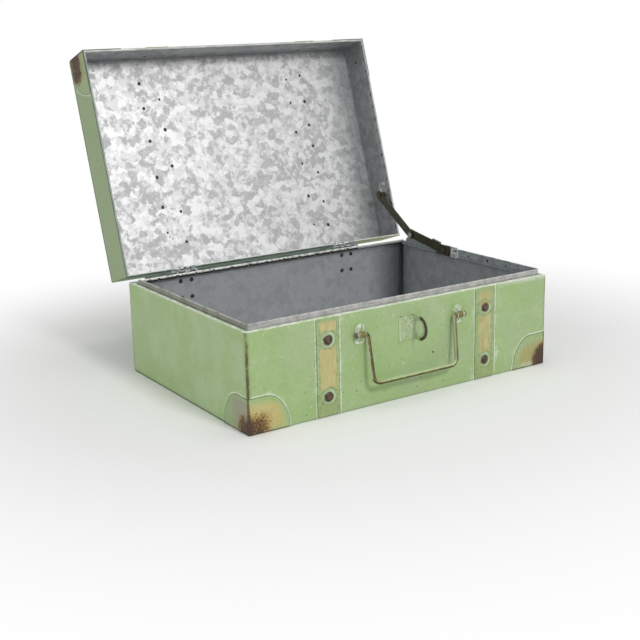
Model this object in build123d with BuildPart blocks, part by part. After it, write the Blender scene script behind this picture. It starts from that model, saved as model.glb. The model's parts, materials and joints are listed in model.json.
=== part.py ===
"""Small tin trunk: a box for papers and keepsakes, folded from painted sheet steel.

Millimetres.  The origin is the centre of the base's underside, +X to the right along the front,
+Y to the back and +Z up.  The lid is modelled standing open, as the trunk is shown to a buyer.
What belongs to the lid is drawn where it lies when the lid is shut and is swung open by its planes.
"""
from build123d import *

import os
from math import atan2, degrees, hypot

os.makedirs("parts", exist_ok=True)

# ---------------------------------------------------------------- driving dimensions
LENGTH = 360.0  # outside, along the front
WIDTH = 243.0  # outside, front to back
BODY_H = 97.0
LID_H = 43.0
SHEET = 0.8  # thickness of the box's own sheet
SEAM_GAP = 0.3  # between the shut lid and the body's rim
LID_OPEN = 107.7  # degrees

BASE_BEND = 2.0  # outside radius of the long bends at base and lid top
RIM_BEND = 1.4
RIM_INSET = 4.4  # width of the ledge folded in round the body's mouth
RIM_LIP = 4.5  # depth of the lip turned down from it
REAR_LIP = 2.2  # the same along the back
MITRE_GAP = 0.1
END_FLANGE = 12.0  # flange of the end walls inside the wrap
FLANGE_CLEAR = 0.8  # a side flange stops this far under the rim's ledge

COLLAR_RISE = 5.5  # the bare inner collar stands this high above the rim
COLLAR_CORNER = 3.0
COLLAR_BACK_SETBACK = 9.1  # the collar's side legs stop this far short of the rear lip
COLLAR_END_R = 4.0
STRIP_RISE = 3.8  # the crimped strip inside the rear rim stands this high above it
STRIP_INSET = (16.0, 70.0)  # its ends from the left and right ends of the box
STRIP_BEAD = (0.7, 1.2)  # depth and half the height of the bead along it
STRIP_BEAD_RISE = 0.6  # the bead's middle above the rim
CRIMP_PITCH = 22.0
CRIMP_R = 1.2

HEM_DEPTH = 7.0  # hem folded back inside the lid's rear and end edges
FRONT_HEM_DEPTH = 22.0
HEM_GAP = 1.0  # air between a wall and its hem
HEM_CLEAR = 0.1

STRAP_W = 25.5
STRAP_T = 0.7
STRAP_INSET = (86.2, 83.0)  # middle of each strap from the left and right ends of the box
STRAP_SHY = 1.5  # a strap stops this far from an edge of the box
STRAP_TAIL = 3.5  # and this far from the back edge of the lid
BOSS_R = 7.0
BOSS_H = 0.4
BOSS_TAPER = 45.0
STRAP_RIVET_LOW = 20.0  # above the base
STRAP_RIVET_DROP = 22.0  # below the rim
LID_STRAP_RIVET_RISE = 24.5  # above the lid's edge
STRAP_RIVET_R = 1.6
STRAP_DOME = (4.2, 2.0)  # radius and height of a rivet's head

CAP_T = 0.5  # thickness of a corner plate
CAP_W_FRONT = 43.4
CAP_W_END = 46.0
CAP_FLAT = 19.0  # straight stretch of its top edge beside the corner
CAP_H = 35.0
LID_CAP_H = 38.7
CAP_SHY = 0.5

HINGE_INSET = (66.0, 84.0)  # middle of each hinge from the left and right ends of the box
HINGE_PIN_R = 2.2
LEAF_T = 1.2
HINGE_GAP = 0.3  # between a barrel and the plane of the rear wall
KNUCKLE = 6.0
KNUCKLES = 5
KNUCKLE_GAP = 0.2
LEAF_LENGTH = 31.0  # from the pin's axis to a leaf's end
LEAF_SHOULDER = 3.8  # from the pin's axis to where a leaf has its full width
CURL = 290.0  # degrees that a knuckle wraps round its pin
RUN_FIT = 0.05  # radial clearance of every turning fit
HINGE_RIVET_STEP = 6.5
HINGE_RIVET_ROWS = (7.8, 26.2)  # below the pin's axis on the body
LID_HINGE_RIVET_ROWS = (10.6, 26.2)  # above it on the lid, clear of the hem
HINGE_RIVET_R = 1.6
HINGE_DOME = (2.6, 1.0)
PIN_HEAD = (3.0, 0.8)
PIN_END_GAP = 0.1

HASP_X = 6.5
HASP_W = 30.0
HASP_PIN_R = 2.2
HASP_OUT = 6.0  # pin's axis in front of the lid
HASP_DROP = 4.0  # pin's axis below the lid's top
HASP_CENTRE = 15.0  # width of the flap's own knuckle
HASP_LEAF_DROP = 24.0
HASP_RIVET_DROP = 12.5
HASP_RIVET_STEP = 9.5
HASP_RIVET_R = 1.6
HASP_DOME = (2.6, 1.0)
FLAP_HANG = 255.7  # degrees from its shut place to where the flap hangs free
FLAP_L = 93.0
FLAP_SHOULDER = 6.2
FLAP_NECK = (28.0, 34.5, 42.0)  # start, middle and end of the flap's narrow neck
FLAP_NECK_W = 22.0
FLAP_FOOT_W = 32.0
FLAP_FOOT_END = 78.0
SLOT_W = 6.5
SLOT_L = 26.5
SLOT_AT = 66.6

STAPLE_T = 1.2
STAPLE_PLATE_W = 18.6
STAPLE_PLATE_H = 25.5
STAPLE_DROP = 26.5  # middle of the staple below the rim
STAPLE_WAIST = 1.4
STAPLE_TAB_H = 24.3
STAPLE_TAB_OUT = 20.8
STAPLE_TAB_STRAIGHT = 10.0
LOCK_HOLE_R = 6.4
LOCK_HOLE_OUT = 8.4
STAPLE_RIVETS = ((-11.4, -6.8), (-10.5, 8.6))  # from the hasp's middle line and the staple's middle
STAPLE_RIVET_R = 1.6
STAPLE_DOME = (2.4, 0.9)

HANDLE_X = 1.0
HANDLE_DROP = 22.5  # the bail's pivot axis below the rim
HANDLE_OUT = 4.4  # the bail's pivot axis in front of the wall
WIRE_R = 2.0
BAIL_SPAN = 105.0  # between the legs at the pivots
BAIL_LEAN = 2.0  # each leg leans in by this much
BAIL_DROP = 48.5
BAIL_TOP_BEND = 2.9
BAIL_BAR_BEND = 8.0
BAIL_TILT = 9.0  # degrees that the bail stands off the wall
BAIL_END = 7.5  # from an eye's middle to the end of the wire
BAIL_HEAD = (2.8, 1.6)  # radius and thickness of the knob at each end
BAIL_HEAD_ROUND = 0.6
EYE_GAP = 1.0  # between a leg of the bail and its eye
EYE_W = 10.4
EYE_H = 19.0
EYE_T = 1.0
EYE_LOOP_W = 7.0
EYE_LOOP_T = 1.15
EYE_SLIT = 0.8
EYE_RIVET_STEP = 6.8
EYE_RIVET_R = 1.3
EYE_DOME = (2.0, 0.8)

LINK_W = 10.0
LINK_T = 1.2
LINK_GAP = 0.3  # between the stay's layers
LINK_RIVET_R = 2.0
LINK_HEAD = (3.2, 0.8)
LINK_TAIL = 4.5  # the lower link reaches this much further past its pivot
ELBOW_LUG_R = 4.2
# The stay's joints: how far in front of the hinge's axis, and how far above the body's rim.
STAY_FOOT = (90.7, 1.5)
STAY_ELBOW = (29.4, 9.8)  # with the lid open
STAY_ELBOW_MIDDLE = (28.2, 11.9)  # where the two links' middle lines meet
STAY_TOP = (57.0, 14.5)  # with the lid shut, above the lid's edge
STAY_PLATE_T = 1.0
STAY_PLATE_ENDS = (-22.5, 15.5)  # from the lower pivot
STAY_PLATE_Z = (-5.0, 7.0)  # lower and upper edge of the foot plate above the rim
STAY_PLATE_RIVETS = (-16.5, 11.5)  # from the lower pivot
STAY_PLATE_RIVET_RISE = 2.8  # above the rim, clear of its ledge
STOP_EAR = (8.5, 22.5)  # where the ear that stops the lower link starts and ends along it
STAY_RIVET_R = 1.5
LID_PLATE_W = 30.0
LID_PLATE_H = 13.0
LID_PLATE_RIVET_STEP = 11.5
STUD_R = 3.5

TAIL_SPREAD = 0.8  # a set tail is this much wider in radius than its shank
TAIL_H = 0.9
TAIL_TAPER = 20.0  # of a flush rivet's tail
DRILL = 3.0  # a rivet hole is cut this far to each side of its seat
CUT_OVER = 1.0  # other cuts run this far past what they cut
QUARTER_TURN = 90.0

# ---------------------------------------------------------------- places worked out from them
end_x = LENGTH / 2
face_y = WIDTH / 2
half_sheet = SHEET / 2
lid_low = BODY_H + SEAM_GAP
lid_top = lid_low + LID_H
rim_x = end_x - RIM_INSET
rim_y = face_y - RIM_INSET
lip_z = BODY_H - RIM_LIP
rear_lip_z = BODY_H - REAR_LIP
pan_y = face_y - SHEET  # the end walls fit between the wrap's walls
barrel_r = HINGE_PIN_R + LEAF_T
hinge_y = face_y + HINGE_GAP + barrel_r
hinge_z = BODY_H + SEAM_GAP / 2
hinge_w = KNUCKLE * KNUCKLES
hasp_y = -face_y - HASP_OUT
hasp_z = lid_top - HASP_DROP
handle_y = -face_y - HANDLE_OUT
handle_z = BODY_H - HANDLE_DROP
eye_offset = BAIL_SPAN / 2 + WIRE_R + EYE_GAP + EYE_LOOP_W / 2
staple_z = BODY_H - STAPLE_DROP
foot_y, foot_z = hinge_y - STAY_FOOT[0], BODY_H + STAY_FOOT[1]
elbow_y, elbow_z = hinge_y - STAY_ELBOW[0], BODY_H + STAY_ELBOW[1]
elbow_middle_y = hinge_y - STAY_ELBOW_MIDDLE[0]
elbow_middle_z = BODY_H + STAY_ELBOW_MIDDLE[1]
top_y, top_z = hinge_y - STAY_TOP[0], lid_low + STAY_TOP[1]
strap_x = {"left": STRAP_INSET[0] - end_x, "right": end_x - STRAP_INSET[1]}
hinge_x = {"left": HINGE_INSET[0] - end_x, "right": end_x - HINGE_INSET[1]}
strip_left = STRIP_INSET[0] - end_x
strip_right = end_x - STRIP_INSET[1]
strap_rivet_z = (STRAP_RIVET_LOW, BODY_H - STRAP_RIVET_DROP)
lid_strap_rivet_z = lid_low + LID_STRAP_RIVET_RISE

LID_SWING = Pos(0, hinge_y, hinge_z) * Rot(-LID_OPEN, 0, 0) * Pos(0, -hinge_y, -hinge_z)
FLAP_SWING = Pos(0, hasp_y, hasp_z) * Rot(-FLAP_HANG, 0, 0) * Pos(0, -hasp_y, -hasp_z)
BAIL_SWING = Pos(0, handle_y, handle_z) * Rot(-BAIL_TILT, 0, 0) * Pos(0, -handle_y, -handle_z)


def on_body(plane):
    """The body stays where it is drawn."""
    return plane


def on_lid(plane):
    """Carry a plane of the shut lid to where the open lid has it."""
    return Plane(LID_SWING * plane.location)


def on_flap(plane):
    """Carry a plane of the shut hasp flap to where it hangs behind the open lid."""
    return Plane(LID_SWING * FLAP_SWING * plane.location)


def front_seat(x, z, y):
    """A plane that looks out of the front at one point."""
    return Plane(origin=(x, y, z), x_dir=(1, 0, 0), z_dir=(0, -1, 0))


def rear_seat(x, z, y):
    """A plane that looks out of the back at one point."""
    return Plane(origin=(x, y, z), x_dir=(-1, 0, 0), z_dir=(0, 1, 0))


def inner_seat(y, z, x):
    """A plane on the right end wall that looks into the box at one point."""
    return Plane(origin=(x, y, z), x_dir=(0, 1, 0), z_dir=(-1, 0, 0))


def drill(seats, radius):
    """Cut one round hole at every seat, through the sheets that meet there."""
    with Locations(*[seat.location for seat in seats]):
        Cylinder(radius, 2 * DRILL, mode=Mode.SUBTRACT)


def rivets(seats, dome, shank_r, grip):
    """Rivets with a domed head on each seat, a shank through the grip and a set tail behind it."""
    head_r, head_h = dome
    tail_r = shank_r + TAIL_SPREAD
    with BuildPart() as group:
        for seat in seats:
            with BuildSketch(Plane(origin=seat.origin, x_dir=seat.x_dir, z_dir=-seat.y_dir)):
                with BuildLine():
                    TangentArc((0, head_h), (head_r, 0), tangent=(1, 0))
                    Polyline((head_r, 0), (shank_r, 0), (shank_r, -grip), (tail_r, -grip))
                    Polyline((tail_r, -grip), (shank_r, -grip - TAIL_H), (0, -grip - TAIL_H))
                    Line((0, -grip - TAIL_H), (0, head_h))
                make_face()
            revolve(axis=Axis(seat.origin, seat.z_dir))
    return group


def turned(seat, steps):
    """A turned pin: each step is a radius and the height on the seat's axis where it ends."""
    with BuildPart() as pin:
        for radius, start, end in steps:
            with BuildSketch(seat.offset(start)):
                Circle(radius)
            extrude(amount=end - start)
    return pin


# ---------------------------------------------------------------- where the rivets sit
strap_seats = {
    side: [front_seat(x, z, -face_y - STRAP_T - BOSS_H) for z in strap_rivet_z]
    for side, x in strap_x.items()
}
lid_strap_seats = {
    side: on_lid(front_seat(x, lid_strap_rivet_z, -face_y - STRAP_T - BOSS_H))
    for side, x in strap_x.items()
}
hinge_seats = {
    side: [
        rear_seat(x + step, hinge_z - row, face_y + LEAF_T)
        for step in (-HINGE_RIVET_STEP, HINGE_RIVET_STEP)
        for row in HINGE_RIVET_ROWS
    ]
    for side, x in hinge_x.items()
}
lid_hinge_seats = {
    side: [
        on_lid(rear_seat(x + step, hinge_z + row, face_y + LEAF_T))
        for step in (-HINGE_RIVET_STEP, HINGE_RIVET_STEP)
        for row in LID_HINGE_RIVET_ROWS
    ]
    for side, x in hinge_x.items()
}
hasp_seats = [
    on_lid(front_seat(HASP_X + step, hasp_z - HASP_RIVET_DROP, -face_y - LEAF_T))
    for step in (-HASP_RIVET_STEP, HASP_RIVET_STEP)
]
staple_seats = [
    front_seat(HASP_X + x, staple_z + z, -face_y - STAPLE_T) for x, z in STAPLE_RIVETS
]
eye_seats = {
    side: [
        front_seat(HANDLE_X + sign * eye_offset, handle_z + step, -face_y - EYE_T)
        for step in (-EYE_RIVET_STEP, EYE_RIVET_STEP)
    ]
    for side, sign in (("left", -1), ("right", 1))
}

# The stay's layers, from the right end wall inwards.
collar_inner_x = rim_x - SHEET
foot_plate_x = collar_inner_x - STAY_PLATE_T
lower_link_x = foot_plate_x - LINK_GAP - LINK_T
upper_link_x = lower_link_x - LINK_GAP - LINK_T
lid_plate_x = end_x - SHEET - STAY_PLATE_T
foot_rivet_seats = [
    inner_seat(foot_y + step, BODY_H + STAY_PLATE_RIVET_RISE, foot_plate_x)
    for step in STAY_PLATE_RIVETS
]
foot_seat = inner_seat(foot_y, foot_z, foot_plate_x)
top_seat = on_lid(inner_seat(top_y, top_z, lid_plate_x))
lid_plate_seats = [
    on_lid(inner_seat(top_y + step, top_z, lid_plate_x))
    for step in (-LID_PLATE_RIVET_STEP, LID_PLATE_RIVET_STEP)
]

# ---------------------------------------------------------------- body: the folded box
# Front, base and back are one bent sheet; its rim is folded in, then down.
with BuildPart() as body_wrap:
    with BuildSketch(Plane.YZ.offset(-end_x)):
        with BuildLine():
            mid_y = face_y - half_sheet
            mid_rim_y = rim_y + half_sheet
            FilletPolyline(
                (-mid_rim_y, lip_z),
                (-mid_rim_y, BODY_H - half_sheet),
                (-mid_y, BODY_H - half_sheet),
                (-mid_y, half_sheet),
                (mid_y, half_sheet),
                (mid_y, BODY_H - half_sheet),
                (mid_rim_y, BODY_H - half_sheet),
                (mid_rim_y, rear_lip_z),
                radius=[
                    RIM_BEND - half_sheet,
                    RIM_BEND - half_sheet,
                    BASE_BEND - half_sheet,
                    BASE_BEND - half_sheet,
                    RIM_BEND - half_sheet,
                    RIM_BEND - half_sheet,
                ],
            )
        trace(line_width=SHEET)
    extrude(amount=LENGTH)
    # The ledge and the lip are mitred at the corners, where the end walls' own rim meets them.
    with BuildSketch(Plane.XY.offset(lip_z - CUT_OVER)):
        for side_x in (-1, 1):
            for side_y in (-1, 1):
                with BuildLine():
                    Polyline(
                        (side_x * (rim_x - MITRE_GAP), side_y * rim_y),
                        (side_x * (end_x - SHEET - MITRE_GAP), side_y * pan_y),
                        (side_x * (end_x + CUT_OVER), side_y * pan_y),
                        (side_x * (end_x + CUT_OVER), side_y * (rim_y - CUT_OVER)),
                        (side_x * (rim_x - MITRE_GAP), side_y * (rim_y - CUT_OVER)),
                        close=True,
                    )
                make_face()
    extrude(amount=RIM_LIP + 2 * CUT_OVER, mode=Mode.SUBTRACT)
    drill(strap_seats["left"] + strap_seats["right"], STRAP_RIVET_R)
    drill(hinge_seats["left"] + hinge_seats["right"], HINGE_RIVET_R)
    drill(staple_seats, STAPLE_RIVET_R)
    drill(eye_seats["left"] + eye_seats["right"], EYE_RIVET_R)
body_wrap.part.label = "body_wrap"
export_step(body_wrap.part, "parts/body_wrap.step")

# Each end wall is a pan set inside the wrap: flanges below and at both sides, its own rim above.
flange_top = BODY_H - SHEET - FLANGE_CLEAR
for side, sign in (("left", -1), ("right", 1)):
    with BuildPart() as end_wall:
        with BuildSketch(Plane.XZ.offset(-pan_y)):
            with BuildLine():
                FilletPolyline(
                    (sign * (rim_x + half_sheet), lip_z),
                    (sign * (rim_x + half_sheet), BODY_H - half_sheet),
                    (sign * (end_x - half_sheet), BODY_H - half_sheet),
                    (sign * (end_x - half_sheet), SHEET + half_sheet),
                    (sign * (end_x - END_FLANGE), SHEET + half_sheet),
                    radius=RIM_BEND - half_sheet,
                )
            trace(line_width=SHEET)
        extrude(amount=2 * pan_y)
        with BuildSketch(Plane.XY.offset(lip_z - CUT_OVER)):
            for side_y in (-1, 1):
                with BuildLine():
                    Polyline(
                        (sign * (rim_x - CUT_OVER), side_y * (rim_y - CUT_OVER)),
                        (sign * rim_x, side_y * rim_y),
                        (sign * (end_x - SHEET), side_y * pan_y),
                        (sign * (rim_x - CUT_OVER), side_y * pan_y),
                        close=True,
                    )
                make_face()
        extrude(amount=RIM_LIP + 2 * CUT_OVER, mode=Mode.SUBTRACT)
        # side flanges, up to just under the wrap's ledge
        with BuildSketch(Plane.XY.offset(SHEET)):
            with GridLocations(0, 2 * pan_y - SHEET, 1, 2):
                with Locations((sign * (end_x - END_FLANGE / 2), 0)):
                    Rectangle(END_FLANGE, SHEET)
        extrude(amount=flange_top - SHEET)
        # the lower corners follow the inside of the wrap's bends
        with BuildSketch(Plane.YZ.offset(-end_x)):
            with BuildLine():
                FilletPolyline(
                    (-pan_y, BODY_H),
                    (-pan_y, SHEET),
                    (pan_y, SHEET),
                    (pan_y, BODY_H),
                    radius=BASE_BEND - SHEET,
                )
                Line((pan_y, BODY_H), (-pan_y, BODY_H))
            make_face()
        extrude(amount=LENGTH, mode=Mode.INTERSECT)
    end_wall.part.label = f"end_wall_{side}"
    export_step(end_wall.part, f"parts/end_wall_{side}.step")

# A bare strip runs round the inside of the rim on three sides and guides the lid's hem.
with BuildPart() as rim_collar:
    with BuildSketch(Plane.XY.offset(lip_z)):
        with BuildLine():
            collar_x = rim_x - half_sheet
            collar_y = rim_y - half_sheet
            collar_back = rim_y - COLLAR_BACK_SETBACK
            FilletPolyline(
                (-collar_x, collar_back),
                (-collar_x, -collar_y),
                (collar_x, -collar_y),
                (collar_x, collar_back),
                radius=COLLAR_CORNER,
            )
        trace(line_width=SHEET)
    extrude(amount=RIM_LIP + COLLAR_RISE)
    end_edges = rim_collar.edges().filter_by(Axis.X).group_by(Axis.Y)[-1]
    fillet(end_edges.group_by(Axis.Z)[-1], COLLAR_END_R)
    drill(foot_rivet_seats, STAY_RIVET_R)
    drill([foot_seat], LINK_RIVET_R)
rim_collar.part.label = "rim_collar"
export_step(rim_collar.part, "parts/rim_collar.step")

# The strip along the back is crimped to the rear lip; its lower edge shows the crimps as notches.
with BuildPart() as rear_rim_strip:
    with BuildSketch(Plane.YZ.offset(strip_left)):
        with Locations((rim_y, rear_lip_z)):
            Rectangle(SHEET, REAR_LIP + STRIP_RISE, align=(Align.MAX, Align.MIN))
        with Locations((rim_y - SHEET, BODY_H + STRIP_BEAD_RISE)):
            Ellipse(*STRIP_BEAD)
    extrude(amount=strip_right - strip_left)
    with BuildSketch(Plane.XZ.offset(-rim_y)):
        with Locations(((strip_left + strip_right) / 2, rear_lip_z)):
            with GridLocations(CRIMP_PITCH, 0, int((strip_right - strip_left) / CRIMP_PITCH), 1):
                Circle(CRIMP_R)
    extrude(amount=2 * SHEET, mode=Mode.SUBTRACT)
rear_rim_strip.part.label = "rear_rim_strip"
export_step(rear_rim_strip.part, "parts/rear_rim_strip.step")

# ---------------------------------------------------------------- body: straps and corner plates
for side, x in strap_x.items():
    with BuildPart() as front_strap:
        with BuildSketch(Plane.XZ.offset(face_y)):
            with Locations((x, BODY_H / 2)):
                Rectangle(STRAP_W, BODY_H - 2 * STRAP_SHY)
        extrude(amount=STRAP_T)
        with BuildSketch(Plane.XZ.offset(face_y + STRAP_T)):
            with Locations(*[(x, z) for z in strap_rivet_z]):
                Circle(BOSS_R)
        extrude(amount=BOSS_H, taper=BOSS_TAPER)
        drill(strap_seats[side], STRAP_RIVET_R)
    front_strap.part.label = f"front_strap_{side}"
    export_step(front_strap.part, f"parts/front_strap_{side}.step")

front_strap_rivets = rivets(
    strap_seats["left"] + strap_seats["right"],
    STRAP_DOME,
    STRAP_RIVET_R,
    BOSS_H + STRAP_T + SHEET,
)
front_strap_rivets.part.label = "front_strap_rivets"
export_step(front_strap_rivets.part, "parts/front_strap_rivets.step")


def corner_plate(place, sign, low, height):
    """A plate folded round an upright front corner; its top edges fall off in quarter ovals."""
    corner = (sign * end_x, -face_y, low)
    front = Plane(origin=corner, x_dir=(-sign, 0, 0), z_dir=(0, sign, 0))
    end = Plane(origin=corner, x_dir=(0, 1, 0), z_dir=(1, 0, 0))
    with BuildPart() as plate:
        for wall, width, outward in ((front, CAP_W_FRONT, -sign), (end, CAP_W_END, sign)):
            with BuildSketch(place(wall)):
                with BuildLine():
                    Polyline((CAP_FLAT, height), (0, height), (0, 0), (width, 0))
                    EllipticalCenterArc(
                        (CAP_FLAT, 0),
                        width - CAP_FLAT,
                        height,
                        start_angle=0,
                        arc_size=QUARTER_TURN,
                    )
                make_face()
            extrude(amount=outward * CAP_T)
        with BuildSketch(place(Plane.XY.offset(low))):
            with Locations((sign * end_x, -face_y)):
                Circle(CAP_T)
                Rectangle(
                    CAP_T,
                    CAP_T,
                    align=(Align.MIN if sign > 0 else Align.MAX, Align.MAX),
                    mode=Mode.INTERSECT,
                )
        extrude(amount=height)
    return plate


for side, sign in (("left", -1), ("right", 1)):
    body_corner = corner_plate(on_body, sign, CAP_SHY, CAP_H - CAP_SHY)
    body_corner.part.label = f"body_corner_{side}"
    export_step(body_corner.part, f"parts/body_corner_{side}.step")

# ---------------------------------------------------------------- body: staple of the hasp
# One blank: a waisted plate on the wall, and a D-shaped tab bent square out of its right edge.
with BuildPart() as staple:
    tab_x = HASP_X + STAPLE_T / 2
    with BuildSketch(Plane.XZ.offset(face_y)):
        with BuildLine():
            plate_x = tab_x - STAPLE_PLATE_W
            waist_x = tab_x - STAPLE_PLATE_W / 2
            low = staple_z - STAPLE_PLATE_H / 2
            high = staple_z + STAPLE_PLATE_H / 2
            Line((tab_x, low), (tab_x, high))
            ThreePointArc((tab_x, high), (waist_x, high - STAPLE_WAIST), (plate_x, high))
            Line((plate_x, high), (plate_x, low))
            ThreePointArc((plate_x, low), (waist_x, low + STAPLE_WAIST), (tab_x, low))
        make_face()
    extrude(amount=STAPLE_T)
    fillet(staple.edges().filter_by(Axis.Y).group_by(Axis.X)[0], STAPLE_T)
    with BuildSketch(Plane.YZ.offset(tab_x - STAPLE_T)):
        with BuildLine():
            tab_low = staple_z - STAPLE_TAB_H / 2
            tab_high = staple_z + STAPLE_TAB_H / 2
            bend_y = -face_y - STAPLE_TAB_STRAIGHT
            nose = (-face_y - STAPLE_TAB_OUT, staple_z)
            Polyline((bend_y, tab_low), (-face_y, tab_low), (-face_y, tab_high), (bend_y, tab_high))
            ThreePointArc((bend_y, tab_high), nose, (bend_y, tab_low))
        make_face()
        with Locations((-face_y - LOCK_HOLE_OUT, staple_z)):
            Circle(LOCK_HOLE_R, mode=Mode.SUBTRACT)
    extrude(amount=STAPLE_T)
    drill(staple_seats, STAPLE_RIVET_R)
staple.part.label = "staple"
export_step(staple.part, "parts/staple.step")

staple_rivets = rivets(staple_seats, STAPLE_DOME, STAPLE_RIVET_R, STAPLE_T + SHEET)
staple_rivets.part.label = "staple_rivets"
export_step(staple_rivets.part, "parts/staple_rivets.step")

# ---------------------------------------------------------------- body: handle
# Each eye is a plate with a loop pressed out of it, which holds one end of the bail.
for side, sign in (("left", -1), ("right", 1)):
    with BuildPart() as handle_eye:
        eye_x = HANDLE_X + sign * eye_offset
        with BuildSketch(Plane.XZ.offset(face_y)):
            with Locations((eye_x, handle_z)):
                RectangleRounded(EYE_W, EYE_H, EYE_T)
        extrude(amount=EYE_T)
        loop_r = WIRE_R + RUN_FIT + EYE_LOOP_T
        with BuildSketch(Plane.YZ.offset(eye_x - EYE_LOOP_W / 2)):
            with Locations((handle_y, handle_z)):
                Circle(loop_r)
                Rectangle(HANDLE_OUT, loop_r + EYE_LOOP_T, align=(Align.MIN, Align.CENTER))
        extrude(amount=EYE_LOOP_W)
        with BuildSketch(Plane.YZ.offset(eye_x - EYE_LOOP_W / 2)):
            with Locations((handle_y, handle_z)):
                Circle(WIRE_R + RUN_FIT)
                Rectangle(HANDLE_OUT, EYE_SLIT, align=(Align.MIN, Align.CENTER))
        extrude(amount=EYE_LOOP_W, mode=Mode.SUBTRACT)
        drill(eye_seats[side], EYE_RIVET_R)
    handle_eye.part.label = f"handle_eye_{side}"
    export_step(handle_eye.part, f"parts/handle_eye_{side}.step")

handle_eye_rivets = rivets(
    eye_seats["left"] + eye_seats["right"], EYE_DOME, EYE_RIVET_R, EYE_T + SHEET
)
handle_eye_rivets.part.label = "handle_eye_rivets"
export_step(handle_eye_rivets.part, "parts/handle_eye_rivets.step")

# The bail is one bent wire whose ends are spread outside the eyes.
with BuildPart() as handle_bail:
    bail_plane = Plane(BAIL_SWING * front_seat(HANDLE_X, handle_z, handle_y).location)
    with BuildLine(bail_plane):
        top_x = BAIL_SPAN / 2
        wire_end = eye_offset + BAIL_END
        FilletPolyline(
            (-wire_end, 0),
            (-top_x, 0),
            (BAIL_LEAN - top_x, -BAIL_DROP),
            (top_x - BAIL_LEAN, -BAIL_DROP),
            (top_x, 0),
            (wire_end, 0),
            radius=[BAIL_TOP_BEND, BAIL_BAR_BEND, BAIL_BAR_BEND, BAIL_TOP_BEND],
        )
    with BuildSketch(Plane.YZ * Pos(handle_y, handle_z, HANDLE_X - wire_end)):
        Circle(WIRE_R)
    sweep()
    knob_r, knob_t = BAIL_HEAD
    for start in (HANDLE_X - wire_end, HANDLE_X + wire_end - knob_t):
        with BuildSketch(Plane.YZ.offset(start)):
            with Locations((handle_y, handle_z)):
                Circle(knob_r)
        extrude(amount=knob_t)
    round_edges = handle_bail.edges().filter_by(GeomType.CIRCLE).group_by(Axis.X)
    fillet(round_edges[0] + round_edges[-1], BAIL_HEAD_ROUND)
handle_bail.part.label = "handle_bail"
export_step(handle_bail.part, "parts/handle_bail.step")

# ---------------------------------------------------------------- hinges
def hinge_leaf(place, x, run, gaps, seats, bore_r):
    """One leaf: a plate, a joggle and curled knuckles.  It runs down the body or up the lid."""
    with BuildPart() as leaf:
        plate_y = face_y + LEAF_T / 2
        tangent_y = hinge_y - HINGE_PIN_R - LEAF_T / 2
        shoulder = LEAF_SHOULDER + LEAF_T
        with BuildSketch(place(Plane.YZ.offset(x - hinge_w / 2))):
            with BuildLine():
                Polyline(
                    (plate_y, hinge_z + run * LEAF_LENGTH),
                    (plate_y, hinge_z + run * shoulder),
                    (tangent_y, hinge_z + run * LEAF_SHOULDER),
                    (tangent_y, hinge_z),
                )
                CenterArc((hinge_y, hinge_z), HINGE_PIN_R + LEAF_T / 2, 180, run * CURL)
            trace(line_width=LEAF_T)
        extrude(amount=hinge_w)
        for gap in gaps:
            middle = x + (gap + 0.5) * KNUCKLE - hinge_w / 2
            with Locations(place(Plane(origin=(middle, hinge_y, hinge_z))).location):
                Box(
                    KNUCKLE + KNUCKLE_GAP,
                    2 * (barrel_r + HINGE_GAP + LEAF_T),
                    2 * LEAF_SHOULDER,
                    mode=Mode.SUBTRACT,
                )
        with BuildSketch(place(Plane.YZ.offset(x - hinge_w / 2))):
            with Locations((hinge_y, hinge_z)):
                Circle(bore_r)
        extrude(amount=hinge_w, mode=Mode.SUBTRACT)
        drill(seats, HINGE_RIVET_R)
    return leaf


body_gaps = range(1, KNUCKLES, 2)
lid_gaps = range(0, KNUCKLES, 2)
for side, x in hinge_x.items():
    hinge_body_leaf = hinge_leaf(on_body, x, -1, body_gaps, hinge_seats[side], HINGE_PIN_R)
    hinge_body_leaf.part.label = f"hinge_body_leaf_{side}"
    export_step(hinge_body_leaf.part, f"parts/hinge_body_leaf_{side}.step")

    hinge_lid_leaf = hinge_leaf(
        on_lid, x, 1, lid_gaps, lid_hinge_seats[side], HINGE_PIN_R + RUN_FIT
    )
    hinge_lid_leaf.part.label = f"hinge_lid_leaf_{side}"
    export_step(hinge_lid_leaf.part, f"parts/hinge_lid_leaf_{side}.step")

    pin_end = hinge_w / 2 + PIN_END_GAP
    hinge_pin = turned(
        Plane(origin=(x, hinge_y, hinge_z), x_dir=(0, 1, 0), z_dir=(1, 0, 0)),
        (
            (PIN_HEAD[0], -pin_end - PIN_HEAD[1], -pin_end),
            (HINGE_PIN_R, -pin_end, pin_end),
            (PIN_HEAD[0], pin_end, pin_end + PIN_HEAD[1]),
        ),
    )
    hinge_pin.part.label = f"hinge_pin_{side}"
    export_step(hinge_pin.part, f"parts/hinge_pin_{side}.step")

hinge_body_rivets = rivets(
    hinge_seats["left"] + hinge_seats["right"], HINGE_DOME, HINGE_RIVET_R, LEAF_T + SHEET
)
hinge_body_rivets.part.label = "hinge_body_rivets"
export_step(hinge_body_rivets.part, "parts/hinge_body_rivets.step")

hinge_lid_rivets = rivets(
    lid_hinge_seats["left"] + lid_hinge_seats["right"], HINGE_DOME, HINGE_RIVET_R, LEAF_T + SHEET
)
hinge_lid_rivets.part.label = "hinge_lid_rivets"
export_step(hinge_lid_rivets.part, "parts/hinge_lid_rivets.step")

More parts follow.
